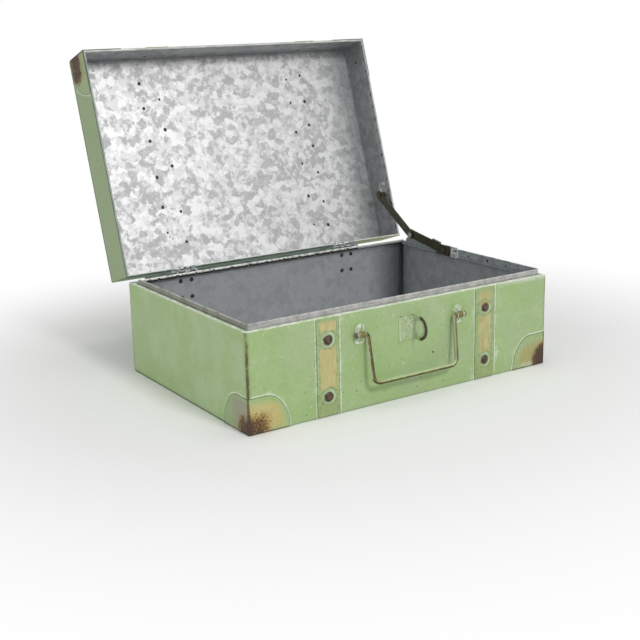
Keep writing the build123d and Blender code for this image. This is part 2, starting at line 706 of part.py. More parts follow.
# ---------------------------------------------------------------- lid: the folded tray
with BuildPart() as lid_wrap:
    with BuildSketch(on_lid(Plane.YZ.offset(-end_x))):
        with BuildLine():
            hem_y = face_y - SHEET - HEM_GAP - half_sheet
            turn = (mid_y - hem_y) / 2
            FilletPolyline(
                (-hem_y, lid_low + FRONT_HEM_DEPTH),
                (-hem_y, lid_low + half_sheet),
                (-mid_y, lid_low + half_sheet),
                (-mid_y, lid_top - half_sheet),
                (mid_y, lid_top - half_sheet),
                (mid_y, lid_low + half_sheet),
                (hem_y, lid_low + half_sheet),
                (hem_y, lid_low + HEM_DEPTH),
                radius=[
                    turn - HEM_CLEAR / 2,
                    turn - HEM_CLEAR / 2,
                    BASE_BEND - half_sheet,
                    BASE_BEND - half_sheet,
                    turn - HEM_CLEAR / 2,
                    turn - HEM_CLEAR / 2,
                ],
            )
        trace(line_width=SHEET)
    extrude(amount=LENGTH)
    # the hems stop short of the end walls
    hem_inner_y = hem_y - half_sheet - HEM_CLEAR
    for sign in (-1, 1):
        with BuildSketch(on_lid(Plane.XY.offset(lid_low - CUT_OVER))):
            with Locations((sign * (end_x - SHEET - HEM_CLEAR), 0)):
                Rectangle(
                    END_FLANGE,
                    2 * pan_y,
                    align=(Align.MIN if sign > 0 else Align.MAX, Align.CENTER),
                )
        extrude(amount=FRONT_HEM_DEPTH + 2 * CUT_OVER, mode=Mode.SUBTRACT)
    drill(list(lid_strap_seats.values()), STRAP_RIVET_R)
    drill(lid_hinge_seats["left"] + lid_hinge_seats["right"], HINGE_RIVET_R)
    drill(hasp_seats, HASP_RIVET_R)
lid_wrap.part.label = "lid_wrap"
export_step(lid_wrap.part, "parts/lid_wrap.step")

for side, sign in (("left", -1), ("right", 1)):
    with BuildPart() as lid_end:
        hem_x = end_x - SHEET - HEM_GAP - half_sheet
        # the end wall turns under the wrap's top above, and back into its own hem below
        with BuildSketch(on_lid(Plane.XZ.offset(-pan_y))):
            with BuildLine():
                FilletPolyline(
                    (sign * (end_x - END_FLANGE), lid_top - SHEET - half_sheet),
                    (sign * (end_x - half_sheet), lid_top - SHEET - half_sheet),
                    (sign * (end_x - half_sheet), lid_low + half_sheet),
                    (sign * hem_x, lid_low + half_sheet),
                    (sign * hem_x, lid_low + HEM_DEPTH),
                    radius=[
                        RIM_BEND - half_sheet,
                        turn - HEM_CLEAR / 2,
                        turn - HEM_CLEAR / 2,
                    ],
                )
            trace(line_width=SHEET)
        extrude(amount=2 * pan_y)
        # the hem stops short of the wrap's own hems
        with BuildSketch(on_lid(Plane.XY.offset(lid_low - CUT_OVER))):
            for side_y in (-1, 1):
                with Locations((sign * (end_x - SHEET), side_y * hem_inner_y)):
                    Rectangle(
                        END_FLANGE,
                        END_FLANGE,
                        align=(
                            Align.MAX if sign > 0 else Align.MIN,
                            Align.MIN if side_y > 0 else Align.MAX,
                        ),
                    )
        extrude(amount=HEM_DEPTH + 2 * CUT_OVER, mode=Mode.SUBTRACT)
        # side flanges, from above the wrap's U-turns
        with BuildSketch(on_lid(Plane.XY.offset(lid_low + BASE_BEND))):
            with GridLocations(0, 2 * pan_y - SHEET, 1, 2):
                with Locations((sign * (end_x - END_FLANGE / 2), 0)):
                    Rectangle(END_FLANGE, SHEET)
        extrude(amount=LID_H - BASE_BEND - SHEET)
        # the upper corners follow the inside of the wrap's bends
        with BuildSketch(on_lid(Plane.YZ.offset(-end_x))):
            with BuildLine():
                FilletPolyline(
                    (-pan_y, lid_low),
                    (-pan_y, lid_top - SHEET),
                    (pan_y, lid_top - SHEET),
                    (pan_y, lid_low),
                    radius=BASE_BEND - SHEET,
                )
                Line((pan_y, lid_low), (-pan_y, lid_low))
            make_face()
        extrude(amount=LENGTH, mode=Mode.INTERSECT)
        if sign > 0:
            drill(lid_plate_seats, STAY_RIVET_R)
            drill([top_seat], LINK_RIVET_R)
    lid_end.part.label = f"lid_end_{side}"
    export_step(lid_end.part, f"parts/lid_end_{side}.step")

for side, x in strap_x.items():
    with BuildPart() as lid_strap:
        with BuildSketch(on_lid(Plane.YZ.offset(x - STRAP_W / 2))):
            with BuildLine():
                FilletPolyline(
                    (-face_y - STRAP_T / 2, lid_low + STRAP_SHY),
                    (-face_y - STRAP_T / 2, lid_top + STRAP_T / 2),
                    (face_y - STRAP_TAIL, lid_top + STRAP_T / 2),
                    radius=BASE_BEND + STRAP_T / 2,
                )
            trace(line_width=STRAP_T)
        extrude(amount=STRAP_W)
        with BuildSketch(on_lid(Plane.XZ.offset(face_y + STRAP_T))):
            with Locations((x, lid_strap_rivet_z)):
                Circle(BOSS_R)
        extrude(amount=BOSS_H, taper=BOSS_TAPER)
        drill([lid_strap_seats[side]], STRAP_RIVET_R)
    lid_strap.part.label = f"lid_strap_{side}"
    export_step(lid_strap.part, f"parts/lid_strap_{side}.step")

lid_strap_rivets = rivets(
    lid_strap_seats.values(), STRAP_DOME, STRAP_RIVET_R, BOSS_H + STRAP_T + SHEET
)
lid_strap_rivets.part.label = "lid_strap_rivets"
export_step(lid_strap_rivets.part, "parts/lid_strap_rivets.step")

for side, sign in (("left", -1), ("right", 1)):
    lid_corner = corner_plate(on_lid, sign, lid_low + CAP_SHY, LID_CAP_H)
    lid_corner.part.label = f"lid_corner_{side}"
    export_step(lid_corner.part, f"parts/lid_corner_{side}.step")

# ---------------------------------------------------------------- lid: hasp
# The leaf comes up the lid's front, over a shelf and round the pin at both sides of the flap.
with BuildPart() as hasp_leaf:
    curl_r = HASP_PIN_R + LEAF_T / 2
    with BuildSketch(on_lid(Plane.YZ.offset(HASP_X - HASP_W / 2))):
        with BuildLine():
            back = -face_y - LEAF_T / 2
            FilletPolyline(
                (back, hasp_z - HASP_LEAF_DROP),
                (back, hasp_z + curl_r),
                (hasp_y, hasp_z + curl_r),
                radius=LEAF_T,
            )
            CenterArc((hasp_y, hasp_z), curl_r, 90, CURL - 90)
        trace(line_width=LEAF_T)
    extrude(amount=HASP_W)
    with Locations(on_lid(Plane(origin=(HASP_X, hasp_y, hasp_z))).location):
        Box(
            HASP_CENTRE + 2 * KNUCKLE_GAP,
            2 * HASP_OUT - 2 * LEAF_T - KNUCKLE_GAP,
            2 * LEAF_SHOULDER,
            mode=Mode.SUBTRACT,
        )
    drill(hasp_seats, HASP_RIVET_R)
hasp_leaf.part.label = "hasp_leaf"
export_step(hasp_leaf.part, "parts/hasp_leaf.step")

hasp_leaf_rivets = rivets(hasp_seats, HASP_DOME, HASP_RIVET_R, LEAF_T + SHEET)
hasp_leaf_rivets.part.label = "hasp_leaf_rivets"
export_step(hasp_leaf_rivets.part, "parts/hasp_leaf_rivets.step")

hasp_pin_end = HASP_W / 2 + PIN_END_GAP
hasp_pin = turned(
    on_lid(Plane(origin=(HASP_X, hasp_y, hasp_z), x_dir=(0, 1, 0), z_dir=(1, 0, 0))),
    (
        (PIN_HEAD[0], -hasp_pin_end - PIN_HEAD[1], -hasp_pin_end),
        (HASP_PIN_R, -hasp_pin_end, hasp_pin_end),
        (PIN_HEAD[0], hasp_pin_end, hasp_pin_end + PIN_HEAD[1]),
    ),
)
hasp_pin.part.label = "hasp_pin"
export_step(hasp_pin.part, "parts/hasp_pin.step")

# The flap: curled once round the pin, necked, and slotted to drop over the staple.
with BuildPart() as hasp_flap:
    flap_y = hasp_y + curl_r
    with BuildSketch(on_flap(Plane.YZ.offset(HASP_X - FLAP_FOOT_W / 2))):
        with BuildLine():
            Line((flap_y, hasp_z - FLAP_L), (flap_y, hasp_z))
            CenterArc((hasp_y, hasp_z), curl_r, 0, CURL)
        trace(line_width=LEAF_T)
    extrude(amount=FLAP_FOOT_W)
    with BuildSketch(on_flap(front_seat(HASP_X, hasp_z, hasp_y - 2 * HASP_OUT))):
        with BuildLine():
            neck_start, neck_middle, neck_end = FLAP_NECK
            Polyline(
                (0, 2 * curl_r),
                (HASP_CENTRE / 2, 2 * curl_r),
                (HASP_CENTRE / 2, -FLAP_SHOULDER),
                (HASP_W / 2, -FLAP_SHOULDER),
                (HASP_W / 2, -neck_start),
            )
            ThreePointArc(
                (HASP_W / 2, -neck_start),
                (FLAP_NECK_W / 2, -neck_middle),
                (FLAP_FOOT_W / 2, -neck_end),
            )
            Line((FLAP_FOOT_W / 2, -neck_end), (FLAP_FOOT_W / 2, -FLAP_FOOT_END))
            TangentArc((0, -FLAP_L), (FLAP_FOOT_W / 2, -FLAP_FOOT_END), tangent=(1, 0))
            mirror(about=Plane.YZ)
        make_face()
        with Locations((0, -SLOT_AT)):
            RectangleRounded(SLOT_W, SLOT_L, LEAF_T, mode=Mode.SUBTRACT)
    extrude(amount=-4 * HASP_OUT, mode=Mode.INTERSECT)
    with BuildSketch(on_flap(Plane.YZ.offset(HASP_X - HASP_W / 2))):
        with Locations((hasp_y, hasp_z)):
            Circle(HASP_PIN_R + RUN_FIT)
    extrude(amount=HASP_W, mode=Mode.SUBTRACT)
hasp_flap.part.label = "hasp_flap"
export_step(hasp_flap.part, "parts/hasp_flap.step")

# ---------------------------------------------------------------- lid stay
# The foot plate is riveted to the collar; its ear is folded over the lower link and stops it.
rise = degrees(atan2(elbow_middle_z - foot_z, elbow_middle_y - foot_y))
with BuildPart() as stay_body_plate:
    low_z, high_z = (BODY_H + edge for edge in STAY_PLATE_Z)
    front_end, back_end = STAY_PLATE_ENDS
    ear_start, ear_end = STOP_EAR
    ear_l = ear_end - ear_start
    ear_low = LINK_W / 2 + LINK_GAP
    with BuildSketch(Plane.YZ.offset(foot_plate_x)):
        with Locations((foot_y + (front_end + back_end) / 2, (low_z + high_z) / 2)):
            RectangleRounded(back_end - front_end, high_z - low_z, STAY_PLATE_T)
        with Locations(Location((foot_y, foot_z, 0), (0, 0, rise))):
            with Locations((ear_start, 0)):
                Rectangle(ear_l, ear_low + STAY_PLATE_T, align=(Align.MIN, Align.MIN))
    extrude(amount=STAY_PLATE_T)
    with BuildSketch(Plane.YZ.offset(lower_link_x)):
        with Locations(Location((foot_y, foot_z, 0), (0, 0, rise))):
            with Locations((ear_start, ear_low)):
                Rectangle(ear_l, STAY_PLATE_T, align=(Align.MIN, Align.MIN))
    extrude(amount=LINK_T + LINK_GAP + STAY_PLATE_T)
    drill(foot_rivet_seats, STAY_RIVET_R)
    drill([foot_seat], LINK_RIVET_R)
stay_body_plate.part.label = "stay_body_plate"
export_step(stay_body_plate.part, "parts/stay_body_plate.step")


def flush_rivets(seats, through):
    """Flush rivets: a plain shank through the plate and the sheets behind it, set over at the back."""
    with BuildPart() as group:
        for seat in seats:
            with BuildSketch(seat):
                Circle(STAY_RIVET_R)
            extrude(amount=-through)
            with BuildSketch(seat.offset(-through)):
                Circle(STAY_RIVET_R + TAIL_SPREAD)
            extrude(amount=-TAIL_H, taper=TAIL_TAPER)
    return group


stay_body_rivets = flush_rivets(foot_rivet_seats, STAY_PLATE_T + SHEET)
stay_body_rivets.part.label = "stay_body_rivets"
export_step(stay_body_rivets.part, "parts/stay_body_rivets.step")

head_r, head_h = LINK_HEAD
stay_body_pivot = turned(
    foot_seat,
    (
        (LINK_RIVET_R, -STAY_PLATE_T - SHEET, 2 * LINK_GAP + LINK_T),
        (head_r, 2 * LINK_GAP + LINK_T, 2 * LINK_GAP + LINK_T + head_h),
    ),
)
stay_body_pivot.part.label = "stay_body_pivot"
export_step(stay_body_pivot.part, "parts/stay_body_pivot.step")

with BuildPart() as stay_lid_plate:
    with BuildSketch(on_lid(Plane.YZ.offset(lid_plate_x))):
        with Locations((top_y, top_z)):
            RectangleRounded(LID_PLATE_W, LID_PLATE_H, STAY_PLATE_T)
    extrude(amount=STAY_PLATE_T)
    drill(lid_plate_seats, STAY_RIVET_R)
    drill([top_seat], LINK_RIVET_R)
stay_lid_plate.part.label = "stay_lid_plate"
export_step(stay_lid_plate.part, "parts/stay_lid_plate.step")

stay_lid_rivets = flush_rivets(lid_plate_seats, STAY_PLATE_T + SHEET)
stay_lid_rivets.part.label = "stay_lid_rivets"
export_step(stay_lid_rivets.part, "parts/stay_lid_rivets.step")

# The upper pivot is a shouldered stud: its shoulder carries the link inside the collar's line.
stud_h = lid_plate_x - upper_link_x - LINK_T - LINK_GAP
stay_lid_pivot = turned(
    top_seat,
    (
        (LINK_RIVET_R + TAIL_SPREAD, -STAY_PLATE_T - SHEET - TAIL_H, -STAY_PLATE_T - SHEET),
        (LINK_RIVET_R, -STAY_PLATE_T - SHEET, 0),
        (STUD_R, 0, stud_h),
        (LINK_RIVET_R, stud_h, stud_h + LINK_T + 2 * LINK_GAP),
        (head_r, stud_h + LINK_T + 2 * LINK_GAP, stud_h + LINK_T + 2 * LINK_GAP + head_h),
    ),
)
stay_lid_pivot.part.label = "stay_lid_pivot"
export_step(stay_lid_pivot.part, "parts/stay_lid_pivot.step")


def stay_link(x, pivot, tail):
    """A flat bar with round ends, from its pivot to the elbow, whose rivet sits low in a lug."""
    pivot_y, pivot_z = pivot
    length = hypot(elbow_middle_y - pivot_y, elbow_middle_z - pivot_z)
    turn = degrees(atan2(elbow_middle_z - pivot_z, elbow_middle_y - pivot_y))
    with BuildPart() as link:
        with BuildSketch(Plane.YZ.offset(x)):
            with Locations(Location((pivot_y, pivot_z, 0), (0, 0, turn))):
                with Locations(((length - tail) / 2, 0)):
                    SlotCenterToCenter(length + tail, LINK_W)
            with Locations((elbow_y, elbow_z)):
                Circle(ELBOW_LUG_R)
            with Locations(pivot):
                Circle(LINK_RIVET_R + RUN_FIT, mode=Mode.SUBTRACT)
            with Locations((elbow_y, elbow_z)):
                Circle(LINK_RIVET_R, mode=Mode.SUBTRACT)
        extrude(amount=LINK_T)
    return link


top_place = top_seat.origin
stay_lower_link = stay_link(lower_link_x, (foot_y, foot_z), LINK_TAIL)
stay_lower_link.part.label = "stay_lower_link"
export_step(stay_lower_link.part, "parts/stay_lower_link.step")

stay_upper_link = stay_link(upper_link_x, (top_place.Y, top_place.Z), 0)
stay_upper_link.part.label = "stay_upper_link"
export_step(stay_upper_link.part, "parts/stay_upper_link.step")

# The elbow's rivet is parted between the links, so that each half travels with its own link.
elbow_rivet_outer = turned(
    inner_seat(elbow_y, elbow_z, lower_link_x + LINK_T),
    ((head_r, -head_h, 0), (LINK_RIVET_R, 0, LINK_T)),
)
elbow_rivet_outer.part.label = "elbow_rivet_outer"
export_step(elbow_rivet_outer.part, "parts/elbow_rivet_outer.step")

elbow_rivet_inner = turned(
    inner_seat(elbow_y, elbow_z, upper_link_x + LINK_T),
    ((LINK_RIVET_R, 0, LINK_T), (head_r, LINK_T, LINK_T + head_h)),
)
elbow_rivet_inner.part.label = "elbow_rivet_inner"
export_step(elbow_rivet_inner.part, "parts/elbow_rivet_inner.step")
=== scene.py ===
"""Small tin trunk: paint, bare zinc, wear and the smallest marks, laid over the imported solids."""
import json
import random
from math import radians

import bpy
from mathutils import Euler, Matrix, Vector


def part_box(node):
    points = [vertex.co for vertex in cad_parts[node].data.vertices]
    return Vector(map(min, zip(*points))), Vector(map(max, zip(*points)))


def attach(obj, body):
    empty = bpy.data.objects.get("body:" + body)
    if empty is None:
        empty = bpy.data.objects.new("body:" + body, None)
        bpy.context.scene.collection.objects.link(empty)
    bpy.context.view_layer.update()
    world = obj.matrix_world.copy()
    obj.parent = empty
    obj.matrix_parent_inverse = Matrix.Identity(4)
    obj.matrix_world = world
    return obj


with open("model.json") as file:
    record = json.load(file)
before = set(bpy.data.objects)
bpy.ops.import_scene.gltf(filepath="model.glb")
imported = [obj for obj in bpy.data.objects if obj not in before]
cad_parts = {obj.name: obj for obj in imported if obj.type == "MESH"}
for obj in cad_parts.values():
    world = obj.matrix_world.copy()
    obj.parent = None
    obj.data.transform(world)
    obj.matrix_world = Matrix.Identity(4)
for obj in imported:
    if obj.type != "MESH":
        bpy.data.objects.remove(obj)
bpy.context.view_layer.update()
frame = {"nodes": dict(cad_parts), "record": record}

MM = 0.001

# ---------------------------------------------------------------- sizes, in millimetres
joints = {joint["name"]: joint for joint in frame["record"]["behaviour"]["joints"]}
lid_joint = joints["lid_hinge"]
LID_OPEN = radians(lid_joint["range_deg"][1])
HINGE = Vector(lid_joint["pos_m"]) / MM
SHUT_PLACE = HINGE - Matrix.Rotation(LID_OPEN, 3, "X") @ HINGE


def node_box(name):
    """Lowest and highest corner of a node, in millimetres."""
    low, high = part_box(name)
    return Vector(low) / MM, Vector(high) / MM


HALF_L = node_box("body_wrap")[1].x
HALF_W = -node_box("body_wrap")[0].y
BODY_TOP = node_box("body_wrap")[1].z
SHEET = 0.8
LID_LOW = BODY_TOP + 0.3
LID_TOP = LID_LOW + 43.0
STRAP_X = [sum(box.x for box in node_box(f"front_strap_{side}")) / 2 for side in ("left", "right")]
STRAP_HALF = 12.75
STRAP_RIVETS = (20.0, 75.0)
LID_STRAP_RIVET = 121.8
CAP_W_FRONT = 43.4
CAP_W_END = 46.0
CAP_FLAT = 19.0
BODY_CAP = (0.5, 34.5)  # low edge and height
LID_CAP = (97.8, 38.7)
HINGE_SPANS = ((-129.0, -99.0), (81.0, 111.0))  # where the hinges' knuckles lie
REAR_PALE_FROM = (112.0, 113.0)  # across: the rear edges of body and lid show pale beyond here
LOCK_HOLE = (8.4, 6.4)  # how far its middle is in front of the wall, and its radius
STAPLE_RIVET = (-5.2, 63.9)  # across and up
EYES = (1.0, 59.0)  # their middle, and each one's distance from it
LINK_BACK_FROM = 22.0  # the stay's lower link covers its foot plate from here
FOOT_PLATE_FACE = 173.9


# ---------------------------------------------------------------- writing node trees
def colour(code):
    """A colour written as a web code, as the shader's linear values."""
    parts = [int(code[at : at + 2], 16) / 255 for at in (1, 3, 5)]
    return tuple(v / 12.92 if v <= 0.04045 else ((v + 0.055) / 1.055) ** 2.4 for v in parts) + (1,)


def sum_node(operation, swapped=False):
    """A method that does a sum with two values by adding its maths node."""

    def method(value, other):
        pair = (other, value) if swapped else (value, other)
        return value.nodes.math(operation, *pair)

    return method


class Value:
    """A node's output.  Sums written with it become maths nodes; a comparison is 1 where it holds."""

    def __init__(self, nodes, socket):
        self.nodes = nodes
        self.socket = socket

    def __abs__(self):
        return self.nodes.math("ABSOLUTE", self)

    __add__ = sum_node("ADD")
    __sub__ = sum_node("SUBTRACT")
    __rsub__ = sum_node("SUBTRACT", swapped=True)
    __mul__ = sum_node("MULTIPLY")
    __truediv__ = sum_node("DIVIDE")
    __rtruediv__ = sum_node("DIVIDE", swapped=True)
    __pow__ = sum_node("POWER")
    __lt__ = sum_node("LESS_THAN")
    __gt__ = sum_node("GREATER_THAN")

    def step(self, start, end, low=0.0, high=1.0):
        """Ease from low to high while the value goes from start to end."""
        inputs = enumerate((self, start, end, low, high))
        return self.nodes.add("ShaderNodeMapRange", inputs, interpolation_type="SMOOTHSTEP")

    def fall(self, start, end, high=1.0):
        """Ease from high to nothing while the value goes from start to end."""
        return self.step(start, end, high, 0.0)

    def band(self, start, end, soft):
        """One between start and end, nothing outside, with soft sides."""
        return self.step(start - soft, start + soft) * self.fall(end - soft, end + soft)

    def mix(self, first, second):
        """Colour: the first where this mask is 0, the second where it is 1."""
        inputs = {0: self, 6: first, 7: second}
        return self.nodes.add("ShaderNodeMix", inputs, out=2, data_type="RGBA")

    def blend(self, first, second):
        """The same for two plain values."""
        return self.nodes.blend(self, first, second)

    def tint(self, mask, share, code):
        """This colour with another laid over it: its share of the mask."""
        return (mask * share).mix(self, code)


class Nodes:
    """A node tree being built, with the place its effects are worked out from.

    Most methods add a node and hand back its output.
    """

    def __init__(self, tree):
        self.tree = tree

    def settle(self, place):
        """Set the place, in millimetres, and take it apart into its axes."""
        self.place = place
        self.xyz = self.axes(place)

    def node(self, kind, inputs=(), **settings):
        node = self.tree.nodes.new(kind)
        for name, value in settings.items():
            setattr(node, name, value)
        for key, value in dict(inputs).items():
            self.feed(node.inputs[key], value)
        return node

    def add(self, kind, inputs=(), out=0, **settings):
        return Value(self, self.node(kind, inputs, **settings).outputs[out])

    def outputs(self, kind, inputs=(), **settings):
        """Add a node; returns all its outputs by name."""
        node = self.node(kind, inputs, **settings)
        return {socket.name: Value(self, socket) for socket in node.outputs}

    def feed(self, socket, value):
        """Give an input a value, a constant, or a colour as a web code."""
        if isinstance(value, Value):
            self.tree.links.new(value.socket, socket)
        else:
            is_code = isinstance(value, str) and value.startswith("#")
            socket.default_value = colour(value) if is_code else value

    def math(self, operation, *values, clamp=False):
        return self.add("ShaderNodeMath", enumerate(values), operation=operation, use_clamp=clamp)

    def vector(self, operation, first, second):
        return self.add("ShaderNodeVectorMath", {0: first, 1: second}, operation=operation)

    def chain(self, operation, values):
        result = values[0]
        for value in values[1:]:
            result = self.math(operation, result, value)
        return result

    def least(self, *values):
        return self.chain("MINIMUM", values)

    def most(self, *values):
        return self.chain("MAXIMUM", values)

    either = most

    def length(self, across, up):
        """How long the slope of a right-angled triangle is."""
        return self.math("SQRT", across ** 2.0 + up ** 2.0)

    def blend(self, mask, first, second):
        """The first value where the mask is 0, the second where it is 1."""
        return self.add("ShaderNodeMix", {0: mask, 2: first, 3: second}, data_type="FLOAT")

    def noise(self, size, detail=4.0, roughness=0.65, distortion=0.0, place=None, out=0):
        """Cloudy noise whose lumps measure about `size` millimetres, or a size along each axis."""
        place = place or self.place
        if isinstance(size, tuple):
            place, size = self.vector("DIVIDE", place, size), 1.0
        inputs = {"Vector": place, "Scale": 1.0 / size, "Detail": detail}
        inputs.update(Roughness=roughness, Distortion=distortion)
        return self.add("ShaderNodeTexNoise", inputs, out=out)

    def axes(self, vector):
        return list(self.outputs("ShaderNodeSeparateXYZ", {0: vector}).values())

    def group(self, name, place=None, **numbers):
        """Use a shared effect; returns its outputs by name."""
        inputs = {key.capitalize(): value for key, value in numbers.items()}
        inputs["Place"] = place or self.place
        return self.outputs("ShaderNodeGroup", inputs, node_tree=bpy.data.node_groups[name])

    def ragged(self, distance, size, amount):
        return self.group("ragged", distance=distance, size=size, amount=amount)["Distance"]

    def speckle(self, spacing, radius, share, place=None):
        return self.group("speckle", place, spacing=spacing, radius=radius, share=share)["Mask"]

    def give(self, results, kind="NodeSocketFloat"):
        """Name what the tree itself gives, feed it, and hand back the tree."""
        for name in results:
            self.tree.interface.new_socket(name=name, in_out="OUTPUT", socket_type=kind)
        outer = self.tree.nodes.new("NodeGroupOutput").inputs
        for name, value in results.items():
            self.feed(outer[name], value)
        return self.tree


NUMBER = "NodeSocketFloat"
PLACE = "NodeSocketVector"
SHAPE = "NodeSocketGeometry"


def open_group(name, inputs, kind="ShaderNodeTree"):
    """A new node group.  Each input is given by its socket's kind, or by a number as its default."""
    tree = bpy.data.node_groups.new(name, kind)
    for title, given in inputs.items():
        socket_kind = given if isinstance(given, str) else NUMBER
        socket = tree.interface.new_socket(name=title, in_out="INPUT", socket_type=socket_kind)
        if given is not socket_kind:
            socket.default_value = given
    n = Nodes(tree)
    inner = n.outputs("NodeGroupInput")
    if "Place" in inputs:
        n.settle(inner["Place"])
    return n, inner


# ---------------------------------------------------------------- effects that finishes share
def build_speckle():
    """Scattered round dots; a share of the cells holds one."""
    inputs = {"Place": PLACE, "Spacing": 10, "Radius": 0.6, "Share": 0.4}
    n, inner = open_group("speckle", inputs)
    inputs = {"Vector": n.place, "Scale": 1 / inner["Spacing"]}
    cells = n.outputs("ShaderNodeTexVoronoi", inputs)
    reach = cells["Distance"] * inner["Spacing"]
    chance, odd_size = n.axes(cells["Color"])[:2]
    size = inner["Radius"] * (odd_size + 0.5)
    n.give({"Mask": reach.fall(size * 0.6, size) * (chance < inner["Share"])})


def build_ragged():
    """A distance with a torn edge: the value plus noise."""
    inputs = {"Place": PLACE, "Distance": 0, "Size": 6, "Amount": 2}
    n, inner = open_group("ragged", inputs)
    shift = (n.noise(inner["Size"], 4, 0.62) - 0.5) * inner["Amount"]
    n.give({"Distance": inner["Distance"] + shift * 2})


def build_fold_distance():
    """How far a place on a closed box is from the nearest fold, and from the upright ones."""
    n, inner = open_group("fold distance", {"Place": PLACE, "Low": 0, "High": BODY_TOP})
    x, y, z = n.xyz
    across = HALF_L - abs(x)
    along = HALF_W - abs(y)
    low = z - inner["Low"]
    high = inner["High"] - z
    upright = n.most(across, along)
    nearest = n.least(across, along)
    n.give({
        "Distance": n.most(nearest, n.least(upright, n.least(low, high))),
        "Upright": upright,
        "Low edge": n.most(low, nearest),
        "High edge": n.most(high, nearest),
    })


def build_plate_reach():
    """Place on a corner plate: 1 at its outline, and the distances from the corner and its foot."""
    n, inner = open_group("plate reach", {"Place": PLACE, "Low": 0, "Height": 35})
    x, y, z = n.xyz
    from_end = HALF_L - abs(x)
    from_front = y + HALF_W
    run = n.most(from_end, from_front)
    end_side = from_front > from_end
    width = end_side.blend(CAP_W_FRONT - CAP_FLAT, CAP_W_END - CAP_FLAT)
    rise = z - inner["Low"]
    over = n.most(run - CAP_FLAT, 0)
    reach = n.length(over / width, n.most(rise, 0) / inner["Height"])
    n.give({"Reach": reach, "Run": run, "Rise": rise, "End side": end_side})


def build_spangle():
    """Crystals of hot-dip zinc: irregular flakes of several tones, with bright grains between."""
    n, inner = open_group("spangle", {"Place": PLACE, "Size": 9})
    size = inner["Size"]
    bend = n.noise(size / 1.6, out="Color")
    shift = n.vector("SUBTRACT", bend, (0.5, 0.5, 0.5))
    far = n.add("ShaderNodeVectorMath", {0: shift, "Scale": size * 1.1}, operation="SCALE")
    place = n.vector("ADD", n.place, far)
    tones = []
    for factor in (1, 1.9):
        inputs = {"Vector": place, "Scale": factor / size, "Smoothness": 0.12}
        flakes = n.add("ShaderNodeTexVoronoi", inputs, out="Color", feature="SMOOTH_F1")
        tones.append(n.axes(flakes)[0])
    cloud = n.noise(size / 1.8, place=place)
    tone = n.blend(0.36, n.blend(0.4, *tones), cloud)
    n.give({
        "Grey": tone.fall(0.42, 0.47),
        "Dark": tone.fall(0.31, 0.37),
        "Bright": tone.step(0.56, 0.64),
        "Height": tone,
    })


def build_chalk():
    """Hand-rubbed chalk paint: big clouds of hue, pale haze and short level scratches."""
    n, _ = open_group("chalk", {"Place": PLACE})
    dabs = n.noise(4.2, 4, 0.7)
    strokes = n.noise((1.5, 1.5, 15), 3, 0.6)
    mottle = n.blend(0.2, dabs, strokes)
    far = n.vector("ADD", n.place, (310, 90, 40))
    haze = n.noise((26, 26, 20.8), 5, 0.68, 0.6, far)
    level = n.noise((17, 17, 0.9), 3, 0.6, 0.5)
    patch = n.noise(34, 2, 0.5).step(0.5, 0.68)
    n.give({
        "Cloud": n.noise(62, 3, 0.55, 0.4).step(0.38, 0.62),
        "Deep": n.noise(40, 4, 0.6, 0.4, far).step(0.46, 0.68),
        "Haze": haze.step(0.48, 0.74),
        "Scratch": level.step(0.6, 0.74) * patch,
        "Light mottle": mottle.step(0.5, 0.62),
        "Dark mottle": mottle.step(0.5, 0.38),
        "Height": n.noise(1.6),
    })


for build in (
    build_speckle, build_ragged, build_fold_distance, build_plate_reach, build_spangle, build_chalk
):
    build()


# ---------------------------------------------------------------- finishes
class Finish(Nodes):
    """A new material's nodes; their place is in millimetres, and on the lid as if it were shut."""

    def __init__(self, name, lid=False):
        self.material = bpy.data.materials.new(name)
        self.material.use_nodes = True
        super().__init__(self.material.node_tree)
        self.shader = self.tree.nodes["Principled BSDF"]
        raw = self.add("ShaderNodeTexCoord", out="Object")
        inputs = {"Vector": raw, "Scale": (1 / MM, 1 / MM, 1 / MM)}
        if lid:
            inputs.update(Rotation=(LID_OPEN, 0, 0), Location=SHUT_PLACE)
        self.settle(self.add("ShaderNodeMapping", inputs))

    def dress(self, base, roughness, metallic=0, height=None, depth=0.06, strength=0.35):
        """Feed the shader's colour, roughness, metal and surface relief; depth is in millimetres."""
        inputs = {"Base Color": base, "Roughness": roughness, "Metallic": metallic}
        if height is not None:
            bump = {"Height": height, "Strength": strength, "Distance": depth * MM}
            inputs["Normal"] = self.add("ShaderNodeBump", bump)
        for name, value in inputs.items():
            self.feed(self.shader.inputs[name], value)
        return self.material


GREEN = "#9EB97D"
GREEN_GREY = "#A5B68E"
END_GREEN = "#8F9F7C"
CREAM = "#E2EAD6"
LINE_GREEN = "#4F6340"
OLIVE_WEAR = "#5B4B1C"
DARK_RUST = "#46342B"
SHADOW_GREY = "#3F4345"


def chalk_paint(n):
    """The sage paint by itself."""
    chalk = n.group("chalk")
    base = (chalk["Cloud"] * 0.65).mix(GREEN, GREEN_GREY)
    for layer, share, code in (
        ("Deep", 0.4, "#92B070"),
        ("Haze", 0.45, "#B6C7A0"),
        ("Light mottle", 0.22, "#B3C797"),
        ("Dark mottle", 0.2, "#88A463"),
        ("Scratch", 0.45, "#D3DEC2"),
    ):
        base = base.tint(chalk[layer], share, code)
    return base, chalk


def strap_middle(n):
    """How far across a place is from the middle of the nearer strap."""
    return n.least(*(abs(n.xyz[0] - strap_x) for strap_x in STRAP_X))


# places on the front where white chalk has run: across, up, and how far it spreads
SPLASHES = ((113, 23, 8), (106, 72, 4), (-96, 14, 5))


